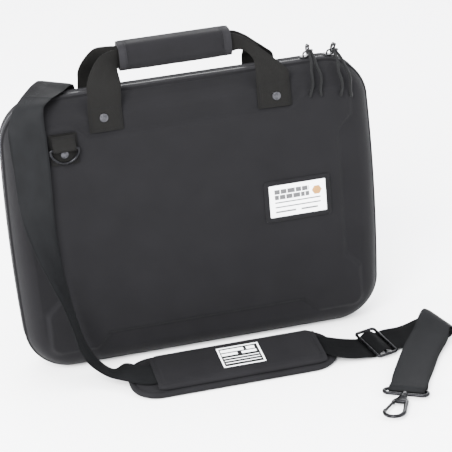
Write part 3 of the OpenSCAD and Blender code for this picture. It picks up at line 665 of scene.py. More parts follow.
def finish_of(key):
    """Makes each finish once, from the colours in the scene's settings."""
    if key in FINISHES:
        return FINISHES[key]
    c = bpy.context.scene.carry_case_colours
    shell, web, strap, metal, foam = (tuple(x) for x in (c.shell, c.webbing, c.strap, c.metal, c.foam))
    makers = {
        "shell": lambda: cloth_finish("Outer cloth", shell, 0.0007, sheen=0.02),
        "tape": lambda: cloth_finish("Zip tape", shade(shell, 1.8)[:3], 0.0011, bump=0.5, sheen=0.01),
        "piping": lambda: cloth_finish("Edge piping", shade(shell, 1.9)[:3], 0.0008, sheen=0.02),
        "webbing": lambda: webbing_finish("Handle webbing", web, 0.035, 0.0018, 0.006, 0.7, (0.7, 0.86),
                                          0.005, 0.05),
        "narrow": lambda: webbing_finish("Narrow webbing", web, 0.024, 0.0016, 0.004, 0.7, (0.7, 0.86), 0.005,
                                          0.05),
        # the last pair paints light and shade: the strap is 1.75 times lighter where it hangs and 0.65 times
        # darker towards the free end on the ground
        "strap": lambda: webbing_finish("Strap webbing", strap, 0.038, 0.0011, 0.019, 0.3, (0.48, 0.62),
                                        0.004, 0.012, 0.2, 0.25, (1.75, 0.65)),
        "wrap": lambda: cloth_finish("Grip cloth", shade(shell, 1.05)[:3], 0.0009, bump=0.4, sheen=0.02),
        "pad": lambda: cloth_finish("Pad cloth", shade(shell, 1.15)[:3], 0.0012, bump=0.55, sheen=0.005),
        "thread": lambda: cloth_finish("Thread", shade(shell, 1.25)[:3], 0.0005, bump=0.5, sheen=0.01),
        "coil": lambda: moulded_finish("Zip teeth", shade(shell, 0.5)[:3]),
        "metal": lambda: metal_finish("Dark nickel", metal),
        "steel": lambda: metal_finish("Rivet steel", tuple(c.rivet), (0.25, 0.42)),
        "foam": lambda: foam_finish("Foam", foam),
        "paper": lambda: print_finish("Label film", tuple(c.label)),
        "ink": lambda: print_finish("Label ink", (0.02, 0.02, 0.022)),
        "yellow": lambda: print_finish("Label yellow", tuple(c.accent)),
        "braid": lambda: braid_finish("Pull cord", shade(strap, 0.75)[:3]),
    }
    FINISHES[key] = makers[key]()
    return FINISHES[key]


# ---- placing of the pad, the tri-glide and the hooks ----
def on_pad(points):
    return turned(points, PAD_TILT, "X") + np.array(PAD_PLACE)


def on_glide(points):
    return turned(turned(points, GLIDE_TILT, "X"), GLIDE_SPIN, "Z") + np.array(GLIDE_PLACE)


def on_free_hook(points):
    return turned(points, -33.2, "Z") + np.array([160, -216, 4.5])


def on_rear_hook(points, turn=50):
    return turned(turned(points, -90, "X"), turn, "Z") + np.array([134, 45.8, 191.4])


def pad_station(x):
    ends = np.array([[x, PAD_HALF_W + 19, 8.0], [x, PAD_HALF_W - 19, 8.0]])
    return on_pad(ends).tolist()


def glide_station(x, z):
    return on_glide(np.array([[x, 18.0, z], [x, -18.0, z]])).tolist()


def front_run():
    through = [(-17, -1.6), (-12.5, -3), (-9.5, -2.6), (-6, 0.6), (0, 3.1), (6, 0.6), (9.5, -2.6), (12.5, -3),
               (17, -2.4)]
    return (FRONT_START + [pad_station(x) for x in (-90, -84, 0, 97)] + FRONT_MIDDLE
            + [glide_station(x, z) for x, z in through] + FRONT_END)


def strap_piece(name, run, node, body):
    """One run of flat strap as wide as the webbing."""
    part = ribbon(run, 1.8, across=11, step=2.5)
    piece = add_piece(name, part, finish_of("strap"), body, [node], sharp=60)
    middle = part[3]
    length = float(lengths_along(middle)[-1]) * MM
    return piece


class CarryCaseSizes(bpy.types.PropertyGroup):
    """Sizes of the small trim that a user may change."""

    stitch_pitch: bpy.props.FloatProperty(name="Stitch pitch", description="Distance between stitches",
                                          default=0.0034, unit="LENGTH")
    tooth_pitch: bpy.props.FloatProperty(name="Tooth pitch", description="Distance between zip teeth",
                                         default=0.0022, unit="LENGTH")
    foam_bevel: bpy.props.FloatProperty(name="Foam edge", description="Rounding of the foam boards' edges",
                                        default=0.0012, unit="LENGTH")
    crate_pitch: bpy.props.FloatProperty(name="Egg crate pitch", description="Distance between foam bumps",
                                         default=0.026, unit="LENGTH")
    crate_depth: bpy.props.FloatProperty(name="Egg crate depth",
                                         description="Depth of the hollows between them",
                                         default=0.0055, unit="LENGTH")
    grip_swell: bpy.props.FloatProperty(name="Grip padding", description="How far the grip's padding swells",
                                        default=0.0011, unit="LENGTH")


def colour_property(name, text, value):
    return bpy.props.FloatVectorProperty(name=name, description=text, default=value, size=3, min=0, max=1,
                                         subtype="COLOR")


class CarryCaseColours(bpy.types.PropertyGroup):
    """Colours of the case's finishes."""

    shell: colour_property("Shell", "Cloth that covers both shells", (0.0041, 0.0040, 0.0044))
    webbing: colour_property("Webbing", "Handle and tab webbing", (0.0030, 0.0029, 0.0027))
    strap: colour_property("Strap", "Shoulder strap webbing", (0.0034, 0.0035, 0.0037))
    metal: colour_property("Fittings", "Plated rings, glide and hooks", (0.0085, 0.0085, 0.0092))
    rivet: colour_property("Rivets", "Rivet caps", (0.030, 0.030, 0.033))
    foam: colour_property("Foam", "Boards and pads inside", (0.016, 0.016, 0.018))
    label: colour_property("Label", "Label film", (0.90, 0.91, 0.92))
    accent: colour_property("Accent", "Small mark on the label", (0.24, 0.10, 0.001))


class CARRYCASE_OT_stage(bpy.types.Operator):
    """Makes the camera, the soft studio lights and the pale floor."""

    bl_idname = "carry_case.stage"
    bl_label = "Stage"

    def execute(self, context):
        data = bpy.data.cameras.new("Camera")
        data.lens, data.sensor_width, data.clip_end = 159.3, 36.0, 50.0
        camera = bpy.data.objects.new("Camera", data)
        context.scene.collection.objects.link(camera)
        yaw, down, roll = (math.radians(a) for a in (11.32, 22.0, 4.98))
        forward = Vector((math.sin(yaw) * math.cos(down), math.cos(yaw) * math.cos(down), -math.sin(down)))
        level = Vector((math.cos(yaw), -math.sin(yaw), 0))
        below = forward.cross(level)
        right = level * math.cos(roll) + below * math.sin(roll)
        under = forward.cross(right)
        camera.matrix_world = Matrix.Translation((-0.3568, -1.9501, 0.9295)) @ Matrix(
            (right, -under, -forward)).transposed().to_4x4()
        context.scene.camera = camera

        world = bpy.data.worlds.new("Studio")
        world.use_nodes = True
        world.node_tree.nodes["Background"].inputs["Color"].default_value = (0.95, 0.96, 1.0, 1)
        world.node_tree.nodes["Background"].inputs["Strength"].default_value = 4.0
        context.scene.world = world
        for name, place, size, power in (("Key", (-1.3, -2.1, 1.9), 1.5, 420),
                                         ("Fill", (1.9, -1.5, 1.2), 1.8, 90),
                                         ("Side", (-2.3, 0.1, 0.9), 1.2, 150),
                                         ("Top", (0.2, 0.3, 2.6), 2.2, 60),
                                         ("Back", (0.6, 2.2, 1.6), 1.6, 60)):
            light = bpy.data.lights.new(name, "AREA")
            light.size, light.energy = size, power
            lamp = bpy.data.objects.new(name, light)
            lamp.location = place
            lamp.rotation_euler = (Vector((0, 0, 0.12)) - Vector(place)).to_track_quat("-Z", "Y").to_euler()
            context.scene.collection.objects.link(lamp)
        grid = [(x, y, -0.02) for y in (-6000, 6000) for x in (-6000, 6000)]
        f = Finish("Studio floor")
        tone = f.noise(f.coords("Object"), 3.0)
        f.surface(Base_Color=f.blend(tone, (0.93, 0.93, 0.93, 1), (0.96, 0.96, 0.96, 1)), Roughness=0.9)
        floor = add_piece("studio_floor", (np.array(grid, float), [(0, 1, 3, 2)]), f.material, merge=0)
        return {"FINISHED"}


class CARRYCASE_OT_strap(bpy.types.Operator):
    """Makes the three runs of the shoulder strap, from the rear hook round the front to the free hook."""

    bl_idname = "carry_case.strap"
    bl_label = "Shoulder strap"

    def execute(self, context):
        rear = strap_piece("strap_rear", REAR_RUN, "strap_rear_run", None)
        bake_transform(rear)
        folded = add_piece("strap_return", ribbon(RETURN_RUN, 1.8, across=11, step=2.5), finish_of("strap"),
                           "front_half", ["strap_return_run"], sharp=60)
        strap_piece("strap_front", front_run(), "strap_front_run", "front_half")
        return {"FINISHED"}


class CARRYCASE_OT_pull_cords(bpy.types.Operator):
    """Makes the cord pulls of both sliders: a wrapped hitch round the ring and two free tails."""

    bl_idname = "carry_case.pull_cords"
    bl_label = "Pull cords"

    def execute(self, context):
        for side, tails in PULL_TAILS.items():
            body, node = "pull_" + side, "zip_cord_" + side
            tops = (np.array(tails[0][0]) + np.array(tails[1][0])) / 2
            turns = np.linspace(0, 2.6 * 2 * math.pi, 66)
            wraps = np.column_stack([tops[0] + 2.3 * np.cos(turns), tops[1] + 1.2 - turns * 0.22,
                                     tops[2] - 0.1 + 1.7 * np.sin(turns)])
            bight = [tops + np.array(v) for v in
                     ([-1.6, -1.6, -1.2], [-1.7, 1.6, -0.2], [0, 2.6, 0.3], [1.7, 1.6, -0.2],
                      [1.6, -1.6, -1.2])]
            hitch = joined([tube(wraps, 1.0, 10), tube(smooth_line(bight, 0.8), 1.0, 10)])
            add_piece("pull_hitch_" + side, hitch, finish_of("braid"), body, [node])
            for which, tail in zip("ab", tails):
                path = smooth_line(tail, 1.6)
                t = np.linspace(0, 1, len(path))
                sway = 1.5 * soft_step(t, 0.25, 0.6) * np.sin(t * 9.0 + (0.6 if which == "a" else 2.4))
                path[:, 0] += sway
                width = np.full(len(path), 1.5)
                width[-4:] = [1.55, 1.65, 1.7, 1.6]
                piece = add_piece("pull_tail_%s_%s" % (side, which), tube(path, width, 12),
                                  finish_of("braid"), body, [])
                round(float(lengths_along(path)[-1]) * MM, 4)
        return {"FINISHED"}


class CARRYCASE_OT_shells(bpy.types.Operator):
    """Makes the two moulded halves with their raised panels."""

    bl_idname = "carry_case.shells"
    bl_label = "Shells"

    def execute(self, context):
        for side, word in ((1, "front"), (-1, "rear")):
            add_piece("shell_" + word, shell_part(side), finish_of("shell"), word + "_half",
                      [word + "_shell"], sharp=75)
        return {"FINISHED"}


class CARRYCASE_OT_zips(bpy.types.Operator):
    """Makes the zip tapes with their sewing, the interlocking teeth and the fabric spine."""

    bl_idname = "carry_case.zips"
    bl_label = "Zips and spine"

    def execute(self, context):
        sizes = context.scene.carry_case_sizes
        tape = [(0.5, 1.6), (0.1, 1.9), (0.0, 2.5), (0.0, 5.4), (0.05, 6.1), (0.35, 6.5), (0.35, 6.9),
                (0.05, 7.3), (0.0, 7.8), (0.15, 8.5), (0.6, 8.8), (2.0, 8.8), (2.0, 1.6)]
        cord_section = [(0.95, 0.15), (0.7, 0.5), (0.7, 1.2), (0.9, 1.5), (2.0, 1.5), (2.0, 0.15)]
        for side, word in ((1, "front"), (-1, "rear")):
            part, stations = open_band(tape, side)
            add_piece("zip_tape_" + word + "_cloth", part, finish_of("tape"), word + "_half",
                      ["zip_tape_" + word], sharp=70)
            out = outward(stations)
            sewn = stitches(stations[:, 5], out, sizes.stitch_pitch * 1000, 2.2, 0.3)
            add_piece("zip_tape_" + word + "_sewing", sewn, finish_of("thread"), word + "_half",
                      [])
            base, stations = open_band(cord_section, side)
            parts = [base]
            line = stations[:, 1]
            out = outward(stations)
            along = lengths_along(line)
            pitch = sizes.tooth_pitch * 1000
            way = unit(np.gradient(line, axis=0))
            block = np.array([(x * w, y, z) for z, w in ((-0.5, 1.0), (0.45, 0.72))
                              for x, y in ((-0.5, -1.0), (0.5, -1.0), (0.62, 0.3), (0.5, 0.75), (-0.5, 0.75),
                                           (-0.62, 0.3))])
            shift = 0.0 if side == 1 else pitch / 2
            for s in np.arange(pitch + shift, along[-1] - pitch, pitch):
                i = min(int(np.searchsorted(along, s)), len(line) - 1)
                t = (s - along[i - 1]) / (along[i] - along[i - 1])
                at = line[i - 1] + t * (line[i] - line[i - 1])
                tooth = at + np.outer(block[:, 0], way[i]) + np.outer(block[:, 2], out[i])
                tooth[:, 1] += side * block[:, 1] * 0.8
                points, faces = loft([tooth[:6], tooth[6:]], caps=True)
                parts.append((points, faces))
            add_piece("zip_teeth_" + word, joined(parts), finish_of("coil"), word + "_half",
                      ["zip_chain_" + word], sharp=35)
        u = np.linspace(-1, 1, 25)
        lift = 0.95 + 0.55 * (1 - u**2) - 0.25 * np.exp(-((np.abs(u) - 0.72) / 0.05) ** 2)
        rings = []
        for x in np.linspace(-SPINE_HALF, SPINE_HALF, 90):
            pucker = 0.10 * math.sin(x / 2.9) * (np.abs(u) > 0.5)
            under = np.column_stack([np.full(25, x), u * 8.7, 0.95 - lift / 1.6 + pucker * 0.4])
            above = np.column_stack([np.full(25, x), u * 8.7, np.full(25, 1.75) - 0.3 * u**2])
            rings.append(np.concatenate([np.maximum(under, [-999, -999, 0.02]), above[::-1]]))
        points, faces = loft(rings, caps=True)
        spine = add_piece("spine_cloth", (points, faces), finish_of("tape"), None, ["spine_hinge"],
                          sharp=60)
        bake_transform(spine)
        return {"FINISHED"}


class CARRYCASE_OT_sliders(bpy.types.Operator):
    """Makes both zip sliders with their rings."""

    bl_idname = "carry_case.sliders"
    bl_label = "Zip sliders"

    def execute(self, context):
        places = {"left": (0.0, np.array([136.0, 0, CASE_H])),
                  "right": (16.0, np.array([SIDE_X - CORNER_R, 0, CASE_H - CORNER_R]))}
        for side, (turn, at) in places.items():
            rise = CORNER_R if side == "right" else 0.0

            def place(points):
                return turned(np.asarray(points, float) + [0, 0, rise], turn, "Y") + at

            plate = pillow(8.0, 5.0, 3.6, [(5, 0.5), (0.8, 0.5), (0.1, 0.8), (0.0, 1.2), (0.3, 1.75),
                                           (1.0, 1.95), (2.4, 2.05), (5, 2.1)], 8, 6, 4)
            waist = plate[0].copy()
            waist[:, 1] *= 1 - 0.22 * np.exp(-((waist[:, 0] - 1.0) / 3.0) ** 2)
            arch = smooth_line([(-4.4, 0, 1.6), (-4.3, 0, 4.8), (-3.2, 0, 6.0), (0, 0, 6.35), (3.2, 0, 6.0),
                                (4.3, 0, 4.8), (4.4, 0, 1.6)], 0.8)
            body = joined([(waist, plate[1]), tube(arch, 0.75, 12, flat=1.3)])
            add_piece("slider_" + side, (place(body[0]), body[1]), finish_of("metal"), "slider_" + side,
                      ["zip_slider_" + side])
            a = np.arange(48) * 2 * math.pi / 48
            ring = np.column_stack([np.zeros(48), -2 + 5.6 * np.cos(a), 8.8 + 5.6 * np.sin(a)])
            loop = tube(ring, 1.1, 14, closed=True)
            b = np.arange(36) * 2 * math.pi / 36
            links = [tube(np.column_stack([x + 3.1 * np.cos(b) * np.cos(lean), y + 3.1 * np.sin(b),
                                           z + 3.1 * np.cos(b) * np.sin(lean)]), 0.8, 12, closed=True)
                     for x, y, z, lean in ((0.4, -9.2, 9.3, 0.35), (-1.0, -6.4, 12.4, 1.1),
                                           (1.6, -7.6, 6.2, -0.7))]
            loop = joined([loop] + links)
            add_piece("slider_ring_" + side, (place(loop[0]), loop[1]), finish_of("metal"), "pull_" + side,
                      ["zip_ring_" + side])
        return {"FINISHED"}


def box_sewing(x0, x1, z0, z1, y, out=(0, -1, 0)):
    """A sewn rectangle on a flat patch."""
    corners = [(x0, y, z0), (x1, y, z0), (x1, y, z1), (x0, y, z1), (x0, y, z0)]
    sides = [np.linspace(a, b, 12)[:-1] for a, b in zip(corners[:-1], corners[1:])]
    fine = np.concatenate(sides + [[corners[-1]]])
    return [stitches(fine, np.tile(out, (len(fine), 1)), 2.9, 2.0, 0.26)]


class CARRYCASE_OT_handles(bpy.types.Operator):
    """Makes both webbing handles with their sewn ends, and the rivets."""

    bl_idname = "carry_case.handles"
    bl_label = "Handles and rivets"

    def execute(self, context):
        cap = [(0.3, 0), (3.8, 0), (4.55, 0.25), (4.6, 0.6), (4.3, 0.95), (3.9, 0.98), (3.7, 0.8),
               (3.3, 0.85), (2.6, 1.2), (1.6, 1.42), (0.6, 1.5), (0.05, 1.5)]
        for side, word in ((1, "front"), (-1, "rear")):
            run = np.array(HANDLE_RUN, float)
            run[:, :, 1] *= side
            add_piece("handle_" + word, ribbon(run, 2.2, across=11, step=2.5), finish_of("webbing"),
                      word + "_half", ["handle_strap_" + word], sharp=60)
            y = (WEB_Y - 1.12) * side
            out = (0, -side, 0)
            parts = box_sewing(-102.5, -72.5, 266.5, 289.5, y, out) + box_sewing(74.5, 105.2, 265.5, 288.5,
                                                                                 y, out)
            add_piece("handle_sewing_" + word, joined(parts), finish_of("thread"), word + "_half", [])
            for place, x, z in (("left", -89.5, 279), ("right", 92, 274.5)):
                part = turned_part(cap, 40)
                points = turned(part[0], 90, "X") + [x, -(FACE_DEPTH + 2.4), z]
                points[:, 1] *= side
                add_piece("rivet_%s_%s" % (word, place), (points, part[1]), finish_of("steel"),
                          word + "_half", ["handle_rivet_%s_%s" % (word, place)])
        return {"FINISHED"}


class CARRYCASE_OT_grip(bpy.types.Operator):
    """Makes the padded grip round the front handle, its end bindings and its closing flap."""

    bl_idname = "carry_case.grip"
    bl_label = "Padded grip"

    def execute(self, context):
        low, high = (v * 1000 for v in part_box("handle_wrap"))
        mid_z, half_z = (low.z + high.z) / 2, (high.z - low.z) / 2
        swell = context.scene.carry_case_sizes.grip_swell * 1000

        def outer(grow):
            """The outside of the grip in (y, z), from the upper back edge round the front."""
            out = [(high.y, mid_z + half_z + grow * 0.4)]
            reach = 11.0
            for a in np.linspace(90, 270, 33):
                c, s = math.cos(math.radians(a)), math.sin(math.radians(a))
                y = low.y + reach + (reach + grow) * math.copysign(abs(c) ** 0.72, c)
                out.append((y, mid_z + (half_z + grow * 0.4) * math.copysign(abs(s) ** 0.72, s)))
            out.append((high.y, mid_z - half_z - grow * 0.4))
            return np.array(out)

        inner = np.array([(high.y, low.z + 2.8), (0, low.z + 2.8), (-7, low.z + 2.9), (-8.6, low.z + 4.4),
                          (-9.1, mid_z), (-8.6, high.z - 4.4), (-7, high.z - 2.9), (0, high.z - 2.8),
                          (high.y, high.z - 2.8)])

        def swept(x0, x1, steps, grow_at, hem=0.0):
            rings = []
            for x in np.linspace(x0, x1, steps):
                ring = outer(grow_at(x))
                if hem:
                    below = soft_step(mid_z - 3.5 - ring[:, 1], 0.0, 1.2) * (ring[:, 0] < -4)
                    ring[:, 0] -= hem * below
                ring = np.concatenate([ring, inner])
                rings.append(np.column_stack([np.full(len(ring), x), ring]))
            return loft(rings, caps=True)

        def padding(x):
            ends = soft_step(min(x - low.x - 7, high.x - 7 - x), -1.0, 14.0)
            return swell * float(ends) * (1 + 0.12 * math.sin(x / 6.1) + 0.08 * math.sin(x / 2.7 + 1)) - 0.35

        wrap = add_piece("grip_padding", swept(low.x + 0.4, high.x - 0.4, 100, padding, 0.55),
                         finish_of("wrap"), "front_half", ["handle_wrap"], sharp=60)
        bindings, sewing = [], []
        for x0, x1 in ((low.x, low.x + 8), (high.x - 8, high.x)):
            bindings.append(swept(x0, x1, 9, lambda x: 0.15 + 0.25 * math.sin(math.pi * (x - x0) / (x1 - x0))))
        add_piece("grip_bindings", joined(bindings), finish_of("tape"), "front_half", [],
                  sharp=60)
        for x, grow in ((low.x + 6.6, 0.25), (high.x - 6.6, 0.25), (low.x + 9.6, -0.1), (high.x - 9.6, -0.1)):
            loop = outer(grow)
            line = np.column_stack([np.full(len(loop), x), loop])
            away = unit(np.column_stack([np.zeros(len(loop)), loop[:, 0] - (low.y + 11), loop[:, 1] - mid_z]))
            sewing.append(stitches(line, away, 3.0, 2.0, 0.28))
        add_piece("grip_sewing", joined(sewing), finish_of("thread"), "front_half", [])
        f_low, f_high = (v * 1000 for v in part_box("grip_flap"))
        half_x, half_h = (f_high.x - f_low.x) / 2, (f_high.z - f_low.z) / 2
        middle = np.array([(f_low.x + f_high.x) / 2, f_low.y, (f_low.z + f_high.z) / 2])
        thick = f_high.y - f_low.y
        shape = pillow(half_x, half_h, 3.5, [(half_h, 0.1), (1.0, 0.05), (0.2, 0.5), (0, 1.1), (0.3, 1.8),
                                             (1.2, 2.2), (3.0, 2.15), (3.6, 1.85), (4.2, 2.1), (7, thick),
                                             (half_h, thick)],
                       8, 50, 10)
        points = np.column_stack([shape[0][:, 0], shape[0][:, 2], shape[0][:, 1]]) + middle
        flap = add_piece("grip_flap_cloth", (points, shape[1]), finish_of("wrap"), "grip_closure",
                         ["grip_flap"], sharp=60)
        y = f_high.y - 0.35
        edge = box_sewing(f_low.x + 3.6, f_high.x - 3.6, f_low.z + 3.6, f_high.z - 3.6, y, (0, 1, 0))
        add_piece("grip_flap_sewing", joined(edge), finish_of("thread"), "grip_closure", [])
        return {"FINISHED"}


class CARRYCASE_OT_d_rings(bpy.types.Operator):
    """Makes the two D-rings, the webbing tabs that hold them and the tabs' rivets."""

    bl_idname = "carry_case.d_rings"
    bl_label = "D-rings"

    def execute(self, context):
        x, bar_y, bar_z, r = -134.0, -PANEL_FACE - 5.5, 254.0, 15.0
        base_y = -PANEL_FACE - 1.0
        plate = ribbon([[(x - 14.5, base_y, 236), (x + 14.5, base_y, 236)],
                        [(x - 14.5, base_y, 269), (x + 14.5, base_y, 269)]], 1.9, 9, 2.5)
        fold_line = [(-38.1, 268), (-38.6, 262), (-41.2, 257.2), (-42.3, 254.5), (-41.9, 252.4),
                     (-40.2, 251.4), (-38.3, 252.1), (-37.2, 254.6), (-37.0, 262)]
        fold = ribbon([[(x - 12, y, z), (x + 12, y, z)] for y, z in fold_line], 1.2, 9, 1.0)
        angles = np.linspace(0, math.pi, 40)
        corner = 1.6
        line = [(-r + corner + 1, 0, 0), (0, 0, 0), (r - corner - 1, 0, 0), (r - 0.6, 0, -0.5)]
        line += [(r * math.cos(a), 0, -r * math.sin(a)) for a in angles[2:-2]]
        line += [(-r + 0.6, 0, -0.5)]
        ring = tube(smooth_line(np.array(line + line[:1]), 1.2)[:-1], 1.55, 16, closed=True)
        cap = [(0.3, 0), (3.3, 0), (3.95, 0.25), (4.0, 0.6), (3.7, 0.9), (3.3, 0.92), (3.1, 0.78),
               (2.4, 1.15), (1.2, 1.42), (0.05, 1.5)]
        head = turned_part(cap, 36)
        head_points = turned(head[0], 90, "X") + [x, -(PANEL_FACE + 2.05), 247]
        for word, swing in (("front", 0.0), ("rear", 24.0)):
            about = 0 if word == "front" else 180
            body = word + "_half"
            tab = joined([plate[:3], fold[:3]])
            add_piece("d_ring_tab_%s_cloth" % word, (turned(tab[0], about, "Z"), tab[1], tab[2]),
                      finish_of("narrow"), body, ["d_ring_tab_" + word], sharp=60)
            sew = joined(box_sewing(x - 12.4, x + 12.4, 238.4, 266.8, base_y - 1.0)
                         + [stitches(np.linspace((x - 11, -39.2, 266), (x + 11, -39.2, 266), 12),
                                     (0, -1, 0), 2.9, 2.0, 0.26),
                            stitches(np.linspace((x - 11, -39.6, 260.6), (x + 11, -39.6, 260.6), 12),
                                     (0, -1, 0), 2.9, 2.0, 0.26)])
            add_piece("d_ring_sewing_" + word, (turned(sew[0], about, "Z"), sew[1]), finish_of("thread"),
                      body, [])
            points = turned(ring[0], -swing, "X") + [x, bar_y, bar_z]
            add_piece("d_ring_%s_wire" % word, (turned(points, about, "Z"), ring[1]), finish_of("metal"),
                      "d_ring" if word == "front" else body, ["d_ring_" + word])
            add_piece("d_ring_rivet_%s_cap" % word, (turned(head_points, about, "Z"), head[1]),
                      finish_of("steel"), body, ["d_ring_rivet_" + word])
        return {"FINISHED"}


def flat_marks(marks, height):
    """Thin printed shapes: rectangles (x, y, half width, half height) and polygons, lifted by height."""
    parts = []
    for mark in marks:
        if len(mark) == 4:
            x, y, a, b = mark
            loop = [(x - a, y - b), (x + a, y - b), (x + a, y + b), (x - a, y + b)]
        else:
            loop = mark
        rings = [[(px, py, h) for px, py in loop] for h in (height - 0.12, height)]
        parts.append(loft([np.array(ring, float) for ring in rings], caps=True))
    return joined(parts)


def six_sides(x, y, r):
    return [(x + r * math.cos(math.radians(60 * k)), y + r * math.sin(math.radians(60 * k))) for k in range(6)]


class CARRYCASE_OT_label(bpy.types.Operator):
    """Makes the name label on the front panel: a raised cloth frame and a printed card with ruled lines."""

    bl_idname = "carry_case.label"
    bl_label = "Front label"

    def execute(self, context):
        low, high = (v * 1000 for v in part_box("label_frame"))
        centre = np.array([(low.x + high.x) / 2, -PANEL_FACE, (low.z + high.z) / 2])
        half_w, half_h = (high.x - low.x) / 2, (high.z - low.z) / 2

        def stand(points):
            return np.column_stack([points[:, 0], -points[:, 2], points[:, 1]]) + centre

        profile = [(0.0, 0.05), (0.1, 1.2), (0.6, 1.95), (1.4, 2.3), (2.4, 2.4), (3.6, 2.3), (4.4, 1.95),
                   (4.9, 1.3), (5.0, 0.05)]
        rings = []
        for inset, height in profile:
            loop = rounded_loop(half_w - inset, half_h - inset, max(3.0 - inset * 0.5, 0.5), 6, 30, 20)
            rings.append(np.column_stack([loop, np.full(len(loop), height)]))
        points, faces = loft(rings, wrap=True)
        add_piece("label_frame_cloth", (stand(points), faces), finish_of("shell"), "front_half",
                  ["label_frame"], sharp=60)
        a, b = half_w - 5.1, half_h - 5.1
        card = pillow(a, b, 0.8, [(b, 0.1), (0.2, 0.1), (0, 0.4), (0.1, 0.85), (0.5, 0.95), (b, 0.95)], 4,
                      24, 14)
        add_piece("label_film", (stand(card[0]), card[1]), finish_of("paper"), "front_half", ["label_card"],
                  sharp=60)
        rng = random.Random(11)
        ink = []
        for row, y in enumerate((10.4, 4.2, -1.6, -6.8)):
            x = -25.5
            tall = 2.5 if row < 2 else 0.7
            end = (13.0, 13.0, 25.0, 25.0)[row]
            while x < end:
                run = rng.uniform(4.5, 9.5) if row < 2 else 50.5
                run = min(run, end - x)
                ink.append((x + run / 2, y, run / 2 - 0.45, tall))
                x += run
        ink += [(-14.0, -12.2, 11.0, 0.9), (12.0, -12.2, 9.0, 0.9)]
        marks = flat_marks(ink, 1.05)
        add_piece("label_ruling", (stand(marks[0]), marks[1]), finish_of("ink"), "front_half", [])
        badge = flat_marks([six_sides(21.0, 6.6, 5.4)], 1.08)
        add_piece("label_badge", (stand(badge[0]), badge[1]), finish_of("yellow"), "front_half", [])
        return {"FINISHED"}


def soft_board(name, node, body, bevel, seed):
    """A foam board as cut: the CAD board's outline with rounded, slightly uneven edges."""
    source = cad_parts[node]
    mesh = source.data.copy()
    mesh.name = name
    bm = bmesh.new()
    bm.from_mesh(mesh)
    bmesh.ops.remove_doubles(bm, verts=bm.verts, dist=1e-6)
    bmesh.ops.dissolve_limit(bm, angle_limit=math.radians(2), verts=bm.verts, edges=bm.edges)
    edges = [e for e in bm.edges if len(e.link_faces) == 2 and e.calc_face_angle(0.0) > math.radians(40)]
    bmesh.ops.bevel(bm, geom=edges, offset=bevel, segments=2, profile=0.6, affect="EDGES", clamp_overlap=True)
    bmesh.ops.triangulate(bm, faces=[f for f in bm.faces if len(f.verts) > 4])
    long_edges = [e for e in bm.edges if e.calc_length() > 0.03]
    bmesh.ops.subdivide_edges(bm, edges=long_edges, cuts=6)
    rng = random.Random(seed)
    for vert in bm.verts:
        vert.co += Vector([rng.uniform(-0.00006, 0.00006) for _ in range(3)])
    for face in bm.faces:
        face.smooth = True
    for edge in bm.edges:
        if len(edge.link_faces) == 2 and edge.calc_face_angle(0.0) > math.radians(50):
            edge.smooth = False
    bmesh.ops.recalc_face_normals(bm, faces=bm.faces)
    bm.to_mesh(mesh)
    bm.free()
    mesh.materials.clear()
    mesh.materials.append(finish_of("foam"))
    board = bpy.data.objects.new(name, mesh)
    bpy.context.scene.collection.objects.link(board)
    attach(board, body)
    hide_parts(node)
    return board


class CARRYCASE_OT_foam(bpy.types.Operator):
    """Makes the foam inside: backing sheet, half-lapped divider boards and the egg-crate lid pad."""

    bl_idname = "carry_case.foam"
    bl_label = "Foam"

    def execute(self, context):
        sizes = context.scene.carry_case_sizes
        for i, node in enumerate(("foam_row_lower", "foam_row_upper", "foam_upright_1", "foam_upright_2",
                                  "foam_upright_3", "foam_upright_4")):
            soft_board(node + "_board", node, "front_half", sizes.foam_bevel, i + 1)
        rings = [case_loop(d, -y) for d, y in ((130, 27.2), (25.3, 27.2), (24.6, 26.6), (24.5, 25.4),
                                              (24.6, 24.2), (25.3, 23.65), (40, 23.6), (80, 23.6),
                                               (130, 23.6))]
        points, faces = loft(rings, caps=True)
        add_piece("foam_backing", (points, faces), finish_of("foam"), "front_half", ["foam_base"],
                            sharp=60)
        pitch, depth = sizes.crate_pitch * 1000, sizes.crate_depth * 1000
        spec = [(130, 27.2), (25.3, 27.2), (24.6, 26.7), (24.5, 23.5), (24.6, 20.0), (25.4, 19.2)]
        rings = [case_loop(d, y) for d, y in spec]
        for d in np.arange(27, MID_INSET, 3.2):
            ring = case_loop(d, 18.6)
            bumps = np.cos(2 * math.pi * ring[:, 0] / pitch) * np.cos(2 * math.pi * (ring[:,
                                                                                          2] - CASE_H / 2) / pitch)
            ring[:, 1] += depth * (0.5 - 0.5 * bumps) * float(soft_step(d, 25, 33))
            rings.append(ring)
        points, faces = loft(rings, caps=True)
        add_piece("egg_crate_foam", (points, faces), finish_of("foam"), "rear_half",
                            ["egg_crate_pad"], sharp=60)
        return {"FINISHED"}


